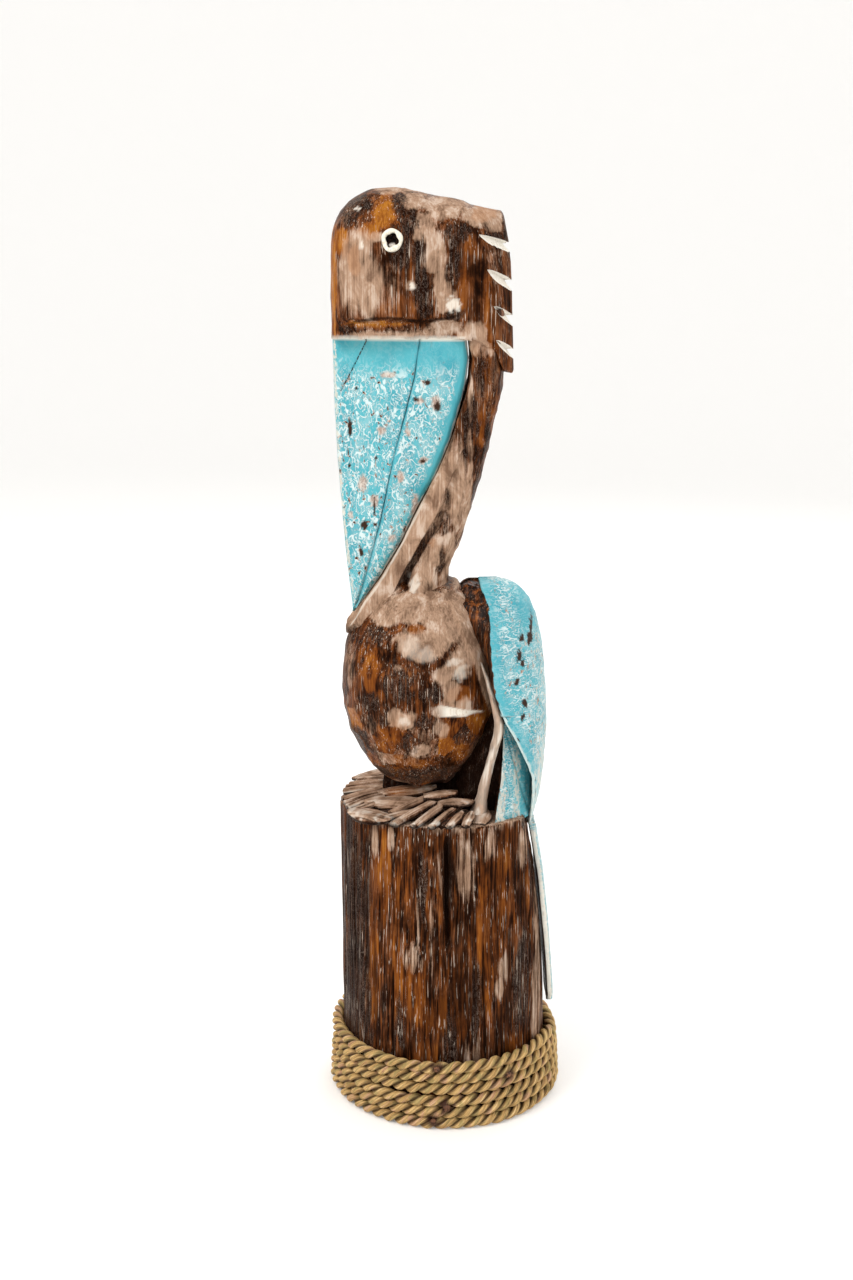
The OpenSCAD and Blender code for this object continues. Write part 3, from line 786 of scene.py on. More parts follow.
def head_rings(sides):
    """Level rings up the sides, with a ledge above the bill, then rings that close over the crown."""
    front_y = HEAD_FRONT + (HEAD_MIDDLE_Y - HEAD_FRONT) * (1 - np.cos(np.linspace(0, np.pi / 2, 40)))
    back_y = np.linspace(HEAD_MIDDLE_Y, HEAD_END_Y, 16)[1:]
    half = [(float(head_half_width(y)), float(y)) for y in list(front_y) + list(back_y)] + [(0, HEAD_END_Y)]
    plan = section(mirrored(half), sides)
    x, y = plan.T
    rings = []
    ledge = [(-1.0, 6.6), (1.5, 6.0), (4, 5.0), (6.6, 3.9), (8.2, 2.6), (9.2, 1.0), (10.2, 0.2)]
    levels = [(CHIN_Z + up, inset) for up, inset in ledge]
    levels += [(z, 0.0) for z in np.linspace(CHIN_Z + 11.5, HEAD_SIDE_TOP, 34)]
    fade = smooth(y, 11, 0) * smooth(y, HEAD_FRONT + 1.5, HEAD_FRONT + 8)
    size = np.linalg.norm(plan - [0, HEAD_MIDDLE_Y], axis=1)
    for z, inset in levels:
        drawn_in = inset * fade / size
        ring = np.column_stack([x * (1 - drawn_in), HEAD_MIDDLE_Y + (y - HEAD_MIDDLE_Y) * (1 - 0.35 * drawn_in)])
        rings.append(at_height(ring, z))
    for a in np.linspace(0, np.pi / 2, 44)[1:-1]:
        c, s = math.cos(a) ** ROUND_OUT, math.sin(a) ** ROUND_UP
        row = np.where(y < HEAD_MIDDLE_Y, HEAD_MIDDLE_Y + (y - HEAD_MIDDLE_Y) * c, y)
        rings.append(np.column_stack([x * c, row, HEAD_SIDE_TOP + (crown_height(row) - HEAD_SIDE_TOP) * s]))
    return rings


def head_masks(obj, amount):
    """Stain and whitewash that run on from the head to the nape, with painted shade along the ledge above the bill;
    gives back where the wood is bare, with painted glints added.
    """
    p = get_points(obj)
    y, z = p.T[1:]
    wash = patches(p, [(-12, 478, 6, 9), (-7, 465, 6.5, 12), (-3, 450, 6.5, 9), (0, 441, 6.5, 5), (-17, 491.6, 9, 5),
                       (-1, 488, 12, 6), (14, 484, 9, 5), (-24, 500, 16, 5), (-42, 470, 3, 2.5), (-36, 474, 4, 2.5),
                       (-17.4, 450, 3.4, 2.4), (13, 426, 8, 6), (15, 420, 6, 6), (-30, 426, 28, 2.2), (20, 488, 8, 4),
                       (0, 430, 9, 4), (24, 482, 5, 6)], 61, 0.55, 3.6, 0.5)
    tinted = patches(p, [(-48, 458, 7, 22), (-44, 470, 7, 8), (-40, 450, 8, 16)], 62, 0.5, (3, 3, 12), 0.6) * 0.95
    hazy = patches(p, [(-30, 452, 12, 16), (-15, 447, 5, 14), (22, 462, 5, 14)], 68, 0.6, (2, 2, 12), 0.6) * 0.30
    amber = patches(p, [(-32, 485, 6.5, 10), (-38, 477, 6, 4.5), (-58, 452, 2.0, 30), (-53, 472, 4, 8),
                        (18, 486, 6, 5), (-38, 431, 18, 2.2), (-47, 463, 3, 8)], 63, 0.6, 4.0, 0.45)
    brown = patches(p, [(13, 470, 8, 9), (22, 440, 5, 22), (24, 424, 4, 14), (8, 448, 4, 16)], 69, 0.6, 4.0, 0.45)
    dark = patches(p, [(-45.7, 490, 7, 7), (-24, 490, 4.5, 6), (-20, 481, 5.5, 7), (2, 473, 3.6, 8), (2.5, 460, 4, 11),
                       (-14, 462, 3.6, 12), (-12, 446, 5, 12), (-50, 483, 4, 5), (8, 476, 4, 4), (-22, 466, 7, 9),
                       (4, 436, 5, 3), (-52, 428, 5, 3), (29.5, 481, 1.6, 9), (23, 474.5, 5, 1.4)],
                   64, 0.6, (3, 3, 5), 0.45)
    # painted shade: the crease along the ledge above the bill, small pits below it, and the gouges darken through the
    # depth mask
    level = CHIN_Z + 9.6 + np.interp(y, [-58, -45, -30, -12, 2, 12], [-6.5, -0.6, 0.8, -1.2, 1.4, 4])
    level = level + 0.7 * noise(p, (4, 4, 4), 65)
    ledge = smooth(abs(z - level), 1.6, 0.4) * smooth(y, 10, 4) * smooth(y, -58, -54)
    pits = smooth(level - z, 0, 1) * smooth(z, CHIN_Z + 1, CHIN_Z + 3) * smooth(noise(p, (1.6, 1.6, 1.2), 66), 0.25, 0.6)
    pits = pits * smooth(y, -8, -16)
    masks(obj, wash=most(wash, tinted, hazy), amber=most(amber, brown * 0.45), dark=dark * 0.82,
          depth=np.minimum(np.clip(amount / 3.0, -1, 1) * 0.5, -0.85 * most(ledge, pits * 0.8)))
    # painted glints: small highlight spots, given back with the bare wood
    glint = patches(p, [(-43, 470, 1.6, 1.2), (-45, 488, 1.4, 0.9), (-17.4, 450, 1.6, 1.4), (3, 441, 3.5, 3.5)],
                    67, 0.8, 1.5, 0.3) * 0.7
    return most(smooth(z, CHIN_Z + 1.4, CHIN_Z + 0.3) * (y < 9) * 0.8, glint)


def make_head(material):
    head = loft("head", head_rings(460), 3)
    p = get_points(head)
    y, z = p.T[1:]
    top = smooth(z, 470, 486)
    band = smooth(z, CHIN_Z + 9, CHIN_Z + 7) * smooth(y, -58, -53)
    amount = gouges(p, 34, 13.0, 1.8, 0.15 + 0.85 * top * smooth(y, 4, -8))[0]
    amount += gouges(p, 35, 4.5, 1.2, band)[0] + 0.5 * rough_noise(p, 12, 36)
    amount += 0.4 * wood_fibres(p, 37, 1.2, 30) * (1 - 0.8 * top) + 1.2 * top
    away = np.hypot(y - EYE_MIDDLE[1], z - EYE_MIDDLE[2])
    amount = amount * smooth(away, 6.0, 10) * smooth(y, HEAD_END_Y, HEAD_END_Y - 5)
    amount -= SOCKET_DEPTH * smooth(away, 4.8, 4.2)
    push(head, amount)
    masks(head, bare=head_masks(head, amount))
    settle(head, material, "head_wood", "head")


def crest_width(y, z):
    """Half width of the nape: level with the head, then a facet that closes in to the back."""
    start, back = along(FACET_LINE, z), along(CREST_LINE, z)
    share = np.clip((y - start) / np.maximum(back - start, 1), 0, 1)
    level = head_half_width(np.minimum(y, start)) - 0.1
    return level + (NAPE_W - level) * share ** 1.15


def crest_ring(share, sides):
    """The nape's outline across, at a share of the way from inside the head to the back."""
    y = 6 + (CREST_BACK - 6) * share
    low = between(y, [6, 12, 16, 25, 29, CREST_BACK],
                  [CHIN_Z + 2, CHIN_Z - 1, CHIN_Z - 3, 415, CREST_Z + 1.5, CREST_Z + 0.5])
    top = float(crown_height(y))
    inset = 1.2 * smooth(share, 0.96, 1.0) ** 2 + 0.4 * smooth(y, HEAD_END_Y, HEAD_END_Y - 2)
    half = [(0.0, low), (0.86, low + 0.3), (0.97, low + 1.6), (1.0, low + 4)]
    half += [(1.0, low + 4 + (HEAD_SIDE_TOP - low - 4) * k / 6) for k in range(1, 7)]
    for a in np.linspace(0, np.pi / 2, 26)[1:-1]:
        half.append((math.cos(a) ** ROUND_OUT, HEAD_SIDE_TOP + (top - HEAD_SIDE_TOP) * math.sin(a) ** ROUND_UP))
    half.append((0.0, top))
    x, z = section(mirrored([(30 * x, z) for x, z in half]), sides, 1).T
    z = (low + top) / 2 + (z - (low + top) / 2) * (1 - 2 * inset / (top - low))
    place = y - (CREST_BACK - along(CREST_LINE, z)) * smooth(y, 8, CREST_BACK)
    return np.column_stack([x / 30 * (crest_width(place, z) - inset), place, z])


def nape_cut(name, start_y, start_z, upper_z, lower_z):
    """A notch cut round the nape from side to side: flat above, sloping out below, deepest at the corners."""
    corner = (NAPE_W, float(along(CREST_LINE, (upper_z + lower_z) / 2)))
    side = np.array([(float(crest_width(start_y - 1.0, start_z)), start_y - 1.0), corner])
    path = [side[0] + (side[1] - side[0]) * t for t in np.linspace(0, 1, 12)]
    path += [np.array([x, corner[1]]) for x in np.linspace(NAPE_W, 0, 6)[1:]]
    run = np.concatenate([[0], np.cumsum([np.linalg.norm(b - a) for a, b in zip(path, path[1:])])])
    facet = side[1] - side[0]
    facet_out = np.array([facet[1], -facet[0]]) / np.linalg.norm(facet)
    rings = []
    for q, at in zip(path, run):
        t = min(at / run[11], 1.0)
        turn = smooth(at, run[11] - 3, run[11] + 3)
        out = facet_out * (1 - turn) + np.array([0, 1.0]) * turn
        out /= np.linalg.norm(out)
        upper = start_z + (upper_z - start_z) * t ** 1.3 + 0.15
        lower = start_z + (lower_z - start_z) * t ** 0.85 - 0.15
        deep = 0.25 + 4.6 * t ** 0.8 - 1.6 * smooth(at, run[11], run[-1])
        slope = (lower - upper) / deep
        inner, outer = q - out * deep, q + out * 4
        rings.append([(*inner, upper - 0.1), (*outer, lower + slope * 4), (*outer, upper + 0.3)])
    rings += [[(-x, y, z) for x, y, z in ring] for ring in reversed(rings[:-1])]
    return make_object(name, [v for ring in rings for v in ring], tube_faces(len(rings), 3))


def make_crest(material):
    shares = list(np.linspace(0, 0.97, 66)) + [0.985, 0.995, 1.0]
    crest = loft("crest", [crest_ring(share, 300) for share in shares], 10)
    p = get_points(crest)
    push(crest, 0.3 * rough_noise(p, 12, 44) + 0.4 * wood_fibres(p, 45, 1.2, 26) * smooth(p[:, 2], 484, 470))
    crest.data.materials.append(material)
    for k, numbers in enumerate(CREST_CUTS):
        cutter = nape_cut(f"cut_{k}", *numbers)
        cutter.data.materials.append(bpy.data.materials.new("cut_marker"))
        cut = crest.modifiers.new("cut", "BOOLEAN")
        cut.operation, cut.solver, cut.material_mode, cut.object = "DIFFERENCE", "EXACT", "TRANSFER", cutter
        bpy.context.view_layer.update()
        done = bpy.data.meshes.new_from_object(crest.evaluated_get(bpy.context.evaluated_depsgraph_get()))
        crest.modifiers.clear()
        crest.data = done
        bpy.data.objects.remove(cutter)
    index = np.zeros(len(crest.data.polygons), np.int32)
    crest.data.polygons.foreach_get("material_index", index)
    crest.data.polygons.foreach_set("material_index", np.zeros(len(index), np.int32))
    crest.data.name = "crest"
    head_masks(crest, 0.3 * rough_noise(get_points(crest), 12, 44))
    masks(crest, "FACE", bare=index > 0)
    settle(crest, material, "head_wood", "crest")


def bill_front(z):
    return -59.4 + 9.2 * np.clip((CHIN_Z - z) / (CHIN_Z - BILL_TIP_Z), 0, 1) ** 1.8


def bill_width(z):
    return float(2.5 + (BILL_HALF_W - 2.5) * np.clip((z - BILL_TIP_Z) / (CHIN_Z - BILL_TIP_Z), 0, 1) ** 0.75)


def bill_top(p):
    """The cleaner paint under the chin line, breaking up downwards."""
    return smooth(p[:, 2] + 5.0 * rough_noise(p, (9, 9, 7), 78), CHIN_Z - 26, CHIN_Z - 9) * 0.92


def bill_masks(obj, **own):
    """The chips that run over both halves of the bill, and the half's own masks."""
    p = get_points(obj)
    deep = [(-4.7, 389, 1.6, 2.8), (-50.8, 377, 1.1, 4.5), (-16, 393, 1.4, 1.2), (-10, 401.5, 1.5, 1.5),
            (-12.7, 360.6, 1.6, 1.2), (-37, 362, 0.8, 0.8), (-43.8, 325.4, 1.7, 2.8), (-38, 326.3, 1.0, 1.0),
            (-45.5, 310.7, 1.3, 1.9), (-51.3, 357.4, 0.8, 0.8), (-38.2, 336, 0.6, 5.0), (-47, 398, 0.8, 0.8)]
    pink = [(-30.5, 405.2, 3.4, 1.6), (-44.3, 348, 2.2, 4.2), (-38, 338.8, 2.4, 3.4), (-16.5, 336, 1.8, 6.0),
            (-28.9, 319, 2.2, 2.0), (-14, 392, 2.4, 1.6), (-6, 391, 2.2, 3.0), (-34, 376, 2.0, 2.2),
            (-12, 361, 2.4, 1.6), (-24, 352, 1.6, 3.0), (-51, 331, 1.4, 1.8), (-20, 376, 1.4, 2.4)]
    masks(obj, chip=patches(p, deep, 75, 0.7, 1.2, 0.2), pink=patches(p, pink, 76, 0.8, 1.6, 0.35) * 0.85, **own)


def make_bill_upper(material):
    rings = []
    for z in np.linspace(BILL_TIP_Z, CHIN_Z + 3, 180):
        w, back, front = bill_width(z) * 0.965, float(along(MOUTH_LINE, z)), float(bill_front(z))
        nose = min(7.5, w * 0.72)
        half = [(0, front - 0.6), (nose - 1.2, front), (nose, front + 1.2),
                (w * 0.62 + nose * 0.38, (front + back) / 2), (w, back - 0.8), (w - 1.0, back + 0.4), (0, back + 0.4)]
        rings.append(at_height(section(mirrored(half), 240, 1), z))
    bill = loft("bill_upper", rings)
    p = get_points(bill)
    x, y, z = p.T
    crack_y = np.interp(z, [390, 396.5, 407.4, 421.7], [-58.5, -55.5, -49.4, -42])
    crack = smooth(abs(y - crack_y), 0.6, 0.1) * smooth(z, 393, 398) * (x > 0)
    push(bill, 0.35 * rough_noise(p, 16, 71) + 0.12 * rough_noise(p, (1.2, 1.2, 9), 72) - 0.8 * crack)
    edge = smooth(y - bill_front(z), 2.2, 1.0) * smooth(abs(x), 2, 4)
    lip = smooth(z, CHIN_Z - 1.6, CHIN_Z - 0.8)
    bill_masks(bill, clean=bill_top(p), worn=edge * 0.5, bare=lip, dark=crack * 0.9)
    settle(bill, material, "bill_paint", "bill_upper")


def make_bill_pouch(material):
    rings = []
    for z in np.linspace(BILL_TIP_Z + 2, CHIN_Z + 3, 180):
        w, front, back = bill_width(z), float(along(MOUTH_LINE, z)) + 0.5, float(along(BILL_BACK, z))
        half = [(0, front), (w - 1.8, front), (w - 0.5, front + 1.1), (w + 0.4, (front + back) / 2), (w, back - 2.2),
                (w - 1.6, back), (0, back)]
        rings.append(at_height(section(mirrored(half), 260, 1), z))
    pouch = loft("bill_pouch", rings)
    p = get_points(pouch)
    y, z = p.T[1:]
    push(pouch, 0.35 * rough_noise(p, 16, 73) + 0.12 * rough_noise(p, (1.2, 1.2, 9), 74))
    behind = along(BILL_BACK, z) - y + 0.8 * noise(p, 4, 79)
    rear = smooth(behind, 6.5, 3.6) * smooth(z, 330, 345)
    front_lip = smooth(y - along(MOUTH_LINE, z), 2.6, 1.0) * 0.8
    lip = most(smooth(z, CHIN_Z - 1.6, CHIN_Z - 0.8), smooth(behind, 0.9, 0.3) * 0.6)
    bill_masks(pouch, clean=most(rear, bill_top(p), front_lip), bare=lip)
    settle(pouch, material, "bill_paint", "bill_pouch")


def wing_half_section(z):
    """The wing from its middle round the outside to the edge and back inside: a block above, a thin skirt below."""
    r, edge, edge_x, face = (float(along(t, z)) for t in (WING_R, WING_EDGE, WING_HALF_W, WING_FACE))
    edge = min(edge, r - 0.8)
    across = edge_x / math.sqrt(1 - (edge / r) ** 2)
    turn_end = math.acos(edge / r)
    turns = np.linspace(0.004, turn_end, 24)
    outer = [(across * math.sin(a), r * math.cos(a)) for a in turns]
    if z > 228:
        reach = math.sqrt(max(float(torso_radius(z)) ** 2 - (face - TORSO_Y) ** 2, 30.0)) - 1.0
        inner_x = min(reach if z < 289 else 9.0, edge_x - 1.5)
        inner = [(edge_x - 0.6, edge - 1.0), (inner_x, face), (0.3, face + 1.0)]
    else:
        thick = 3.5 + 4.0 * float(smooth(z, 178, 166))
        inner = []
        for a in np.linspace(turn_end - 0.004, 0.004, 24):
            gap = 0.9 + (thick - 0.9) * float(smooth(turn_end - a, 0, 0.3))
            inner.append(((across - gap) * math.sin(a), (r - gap) * math.cos(a)))
    return [(max(x, 0.3), y) for x, y in outer + inner]


def make_wing(material, side):
    name = "wing_left" if side > 0 else "wing_right"
    heights = [WING_LOW, 159] + list(np.linspace(160, WING_TOP - 4, 150))
    heights += list(WING_TOP - np.array([3, 2, 1.2, 0.6, 0.2, 0]))
    rings = []
    for z in heights:
        ring = section(wing_half_section(z), 280)
        inset = 0.10 * smooth(z, WING_TOP - 1.5, WING_TOP) ** 2 + 0.25 * smooth(z, 163, 158) ** 2
        x, y = (ring.mean(0) + (ring - ring.mean(0)) * (1 - inset)).T
        rings.append(np.column_stack([x * side, y, z - 0.20 * x * smooth(z, 272, 292)]))
    wing = loft(name, rings, 14)
    p, n = get_points(wing), get_normals(wing)
    y, z = p.T[1:]
    edge = along(WING_EDGE, z)
    face = smooth(-n[:, 1], 0.35, 0.62) * smooth(edge - y, -1.6, -0.4)
    face = most(face, smooth(edge - y, 0.0, 0.7)) * (z > 229)
    amount = 0.5 * rough_noise(p, (18, 18, 26), 81 if side > 0 else 82)
    amount += 0.25 * rough_noise(p, (5, 5, 2.2), 83) * (1 - face)
    amount += 0.6 * wood_fibres(p, 84, 1.2, 16) * face + gouges(p, 85, 7, 1.0, face)[0]
    push(wing, amount)
    worn = smooth(y, 40, 54) * 0.28 + 0.34 * smooth(z, 225, 185) * smooth(y, 40, 52)
    ragged = y - edge + 0.9 * noise(p, 2.2, 86)
    lip = smooth(ragged, 1.3, 0.5) * smooth(z, 236, 226) * (1 - face)
    dark_edge = smooth(ragged, 0.9, 0.2) * smooth(z, 228, 240) * smooth(z, 293, 288)
    dots = smooth(abs(y - edge - 1.2), 0.8, 0.2) * (noise(p, (2, 2, 3.0), 87) > 0.35) * smooth(z, 236, 226)
    chips = patches(p, [(45.6, 273, 1.0, 4.6), (44.9, 266, 1.7, 3.0), (40.0, 267, 1.7, 1.8), (38.5, 258, 1.6, 2.6),
                        (40.5, 254.5, 1.3, 2.4), (37.3, 245.3, 1.4, 1.7), (42, 233.5, 1.4, 2.3), (40.8, 226.5, 1.1, 1.8)],
                    88, 1.0, 1.3, 0.12)
    clean = most(smooth(y - edge, 9, 2), smooth(z, 256, 280) * smooth(y, 32, 42)) * 0.8
    masks(wing, chip=chips * (1 - face), clean=clean,
          worn=np.clip(worn, 0, 1) * (1 - face), bare=lip * 0.5 * (1 - dots), dark=most(face, dark_edge, dots * 0.8))
    settle(wing, material, "wing_paint", name)


def make_covert(material, side):
    name = "covert_left" if side > 0 else "covert_right"
    rings = []
    for z in np.linspace(POST_H - 1.0, 222, 96):
        front = between(z, [167, 174, 193, 209, 219], [25.6, 26.4, 29.2, 30.2, 30.5])
        back = max(front + 1.0, min(float(along(WING_EDGE, z)) + 3.0, 48.3))
        r = 50.8 - 3.0 * smooth(z, 200, 222)
        outer = [(math.sqrt(max(r * r - y * y, 1)) - 2.5 * smooth(z, 190, 222), y) for y in np.linspace(front, back, 8)]
        half = outer + [(12, back), (12, front + 1.0), (outer[0][0] - 1.5, front + 0.2)]
        rings.append(at_height(section(half, 140, 1), z) * [side, 1, 1])
    covert = loft(name, rings, 8)
    p, n = get_points(covert), get_normals(covert)
    y, z = p.T[1:]
    feather = np.sin((y * 0.9 + (z - POST_H) * 0.25) * 1.1)
    amount = 0.5 * rough_noise(p, (6, 6, 18), 91) - 0.6 * smooth(feather, 0.75, 1.0)
    push(covert, amount + 0.9 * noise(p, (1.6, 1.6, 6), 92) * smooth(z, POST_TOP + 5, POST_TOP))
    masks(covert, clean=smooth(y, 35, 40) * 0.8, dark=smooth(-n[:, 1], 0.6, 0.8),
          worn=np.clip(0.12 + 0.5 * smooth(y, 34, 29) + 0.4 * smooth(abs(y - 38), 3, 1), 0, 0.95))
    settle(covert, material, "wing_paint", name)


def make_tail(material):
    thick = 3.4
    rings = []
    for z in np.linspace(TAIL_LOW, TAIL_HIGH, 150):
        w = between(z, [TAIL_LOW, TAIL_LOW + 3, TAIL_LOW + 8, 90, 130, TAIL_HIGH], [9, 15, 19, 24, 23, 17])
        bed = float(along(POST_BACK, z)) + 0.5
        half = [(0, bed), (w - 0.6, bed), (w, bed + 0.7), (w, bed + thick - 1.2), (w - 1, bed + thick - 0.4),
                (w * 0.45, bed + thick + 0.6), (0, bed + thick + 0.1)]
        rings.append(at_height(section(mirrored(half), 200, 1), z))
    tail = loft("tail", rings, 4)
    p, n = get_points(tail), get_normals(tail)
    vane = smooth(abs(abs(p[:, 0]) - 8.5), 0.9, 0.2) + smooth(abs(p[:, 0]), 0.9, 0.2)
    push(tail, 0.3 * rough_noise(p, (8, 8, 26), 93) - 0.9 * vane * smooth(n[:, 1], 0.5, 0.9))
    side_face = smooth(abs(n[:, 0]), 0.55, 0.8)
    chips = [(52, 92, 3, 2.5), (54, 62, 3, 2), (49, 128, 3, 1.5)]
    masks(tail, chip=patches(p * [0, 1, 1], chips, 96, 0.7, 1.2, 0.2), worn=0.35 + 0.4 * side_face,
          bare=side_face * 0.6, dark=smooth(-n[:, 1], 0.5, 0.8))
    settle(tail, material, "wing_paint", "tail", "tail_pins")


def make_leg(material, side):
    name = "leg_left" if side > 0 else "leg_right"
    path = [(31, 17.0, POST_H + 1, 9.5), (32, 18.0, POST_TOP + 3, 7.4), (33.2, 19.4, 181, 5.2), (35, 22.0, 194, 4.4),
            (36.4, 25.3, 208, 4.4), (37, 28.2, 219, 4.8), (36.8, 28.0, 225, 4.6), (34.6, 25.4, 234, 3.6),
            (31.5, 22.8, 243, 3.0), (28, 19.6, 252, 2.2), (26, 17, 258, 1.2)]
    at = np.linspace(0, len(path) - 1, 110)
    cols = [np.interp(at, range(len(path)), column) for column in zip(*path)]
    cols = [np.convolve(np.pad(c, 4, "edge"), np.ones(9) / 9, "valid") for c in cols]
    t = circle(44)
    rings = [at_height(np.column_stack([(x + 1.15 * r * np.cos(t)) * side, y + 0.72 * r * np.sin(t)]), z)
             for x, y, z, r in zip(*cols)]
    leg = loft(name, rings, 4)
    p = get_points(leg)
    amount = gouges(p, 95, 7.0, 0.8)[0] + 0.3 * wood_fibres(p, 96, 1.2, 16)
    push(leg, amount)
    amber = patches(p, [(28, 236, 2, 12), (23, 232, 2, 6), (24, 188, 1.6, 12), (17, 176, 4, 3)], 98)
    # depth: painted shade that darkens the gouges
    masks(leg, wash=0.95 + 0.2 * rough_noise(p, 6, 97), amber=amber * 0.9, depth=np.clip(amount / 1.8, -1, 1) * 0.4,
          bare=0.22 + 0.5 * smooth(noise(p, (2, 2, 9), 94), 0.1, 0.6))
    settle(leg, material, "foot_wood", name)


# toes of the +X foot: root, tip, width, thickness, tilt, and 1 for a leaf pointed at both ends;
# the first TOE_BEDS of them lie under the rest and are made dark as painted shade under them
TOE_BEDS = 3
TOES = [((12, -6, 175), (14, -48, 172.2), 22, 6, 0, 0), ((29, 2, 176), (33, -38, 172.4), 20, 6, 0, 0),
        ((38, 12, 175), (46, -6, 172.2), 15, 5, 0, 0), ((31, 20, 174), (46, 16, 171.5), 13, 4, 0, 0),
        ((-1, -33, 176.6), (7, -57.8, 172.3), 6.2, 4.2, 0.1, 0), ((4, -29, 177), (13, -56.6, 172.1), 6.6, 4.2, 0.2, 0),
        ((8, -29, 176.4), (18.6, -55, 172), 7.2, 4.2, 0.2, 0), ((14, -27, 175.4), (25, -51, 172.3), 8, 4, 0.2, 0),
        ((33, -12, 175.4), (41.5, -39, 172), 10, 4, 0.2, 0), ((45, -29.5, 173.4), (27.5, -53.2, 172.4), 13, 5, -0.25, 1),
        ((28, -12, 177.6), (18.5, -44.5, 174.4), 14, 5.6, -0.25, 1), ((10, -5, 180.4), (10, -38, 176.6), 13, 5.6, -0.2, 1),
        ((20, -6, 179.4), (36.5, -31, 174.6), 8, 4.2, 0.3, 0), ((25, -4, 178.8), (47.2, -29.5, 172.3), 9, 4.6, 0.3, 0),
        ((31, -1.5, 178.2), (50.4, -18.2, 172.2), 8, 4.2, 0.3, 0), ((35, 5, 177.4), (52, -9, 172.1), 7, 3.8, 0.3, 0),
        ((41, 8, 176.2), (52.4, 0.2, 172.1), 6.6, 3.6, 0.25, 0), ((42, 13.5, 176.4), (52, 9.6, 172.2), 6, 3.4, 0.1, 0),
        ((27, 6, 183), (25, -12, 180.4), 12, 5, 0.1, 0), ((37, 14, 181), (29, -3, 178.4), 13, 5, 0.1, 0)]


def toe(start, end, width, thick, roll, pointed, sides=28, steps=44):
    """One carved toe: a tilted slat with a low ridge, cut square at its tip; also its own grain coordinates."""
    start, end = np.array(start, float), np.array(end, float)
    length = np.linalg.norm(end - start)
    ahead = (end - start) / length
    across = np.cross(ahead, UP)
    across /= np.linalg.norm(across)
    up = np.cross(across, ahead)
    across, up = (across * math.cos(roll) - up * math.sin(roll), up * math.cos(roll) + across * math.sin(roll))
    t = circle(sides)
    c = np.sign(np.cos(t)) * abs(np.cos(t)) ** 0.62
    r = np.sign(np.sin(t)) * abs(np.sin(t)) ** 0.62
    r = np.where(r > 0, r * (0.55 + 0.6 * (1 - abs(c + 0.25))), r)
    rings, grain = [], []
    for s in np.linspace(0.0, 1.0, steps):
        if pointed:
            grow = 0.16 + 0.84 * math.sin(math.pi * (0.04 + 0.92 * s)) ** 0.8
        else:
            grow = min(1.0, 0.5 + 0.5 * (s / 0.4) ** 0.8) * (1 - 0.22 * smooth(s, 0.55, 1.0)) * (1 - 0.2 * (s > 0.985))
        w, h = width / 2 * grow, thick / 2 * min(1.0, grow + 0.1)
        middle = start + (end - start) * s - up * h * 1.2 + 0.9 * math.sin(math.pi * s) * UP
        rings.append(middle + across * (w * c)[:, None] + up * (h * r)[:, None])
        grain.append(np.column_stack([w * c, h * r, np.full(sides, s * length)]))
    return rings, grain


def make_foot(material, side):
    name = "foot_left" if side > 0 else "foot_right"
    points, faces, flow, bed = [], [], [], []
    for k, numbers in enumerate(TOES):
        rings, grain = toe(*numbers)
        faces += tube_faces(len(rings), len(rings[0]), len(points))
        points.extend(np.vstack(rings) * [side, 1, 1])
        flow.extend(np.vstack(grain) + [17.0 * k, 40.0 * (side > 0), 0])
        bed += [float(k < TOE_BEDS)] * len(rings) * len(rings[0])
    foot = make_object(name, points, faces)
    coordinates(foot, "flow", flow)
    p, n = get_points(foot), get_normals(foot)
    x, y = p.T[:2]
    push(foot, 0.20 * rough_noise(p, 1.6, 99) + 0.30 * rough_noise(p, 7, 100))
    bed = np.array(bed)
    streak = noise(np.array(flow), (1.1, 3.0, 26.0), 101)
    amber = patches(p, [(-22, 179, 13, 6)], 102, 0.5, 4.0) * (abs(x) < 19)
    tips = smooth(np.hypot(x / POST_TOP_HALF_W, y / 59), 0.955, 1.0) * smooth(noise(p, 2.0, 103), 0.0, 0.5)
    # painted shade: the sides and undersides of the toes darken through the dark and depth masks, and the bed toes are
    # dark under the rest
    masks(foot, wash=np.clip(0.74 + 0.5 * streak - 0.6 * bed - 0.1 * amber, 0, 1),
          amber=np.clip(amber * 0.62 + 0.25 * noise(p, 9, 104), 0, 1),
          dark=most(smooth(n[:, 2], 0.55, 0.1) * 0.75, bed * 0.8), depth=-0.9 * smooth(n[:, 2], 0.3, -0.1),
          bare=np.clip(tips * 0.45 + 0.55 * smooth(streak, 0.45, 0.8), 0, 1) * (1 - bed))
    settle(foot, material, "foot_wood", name)


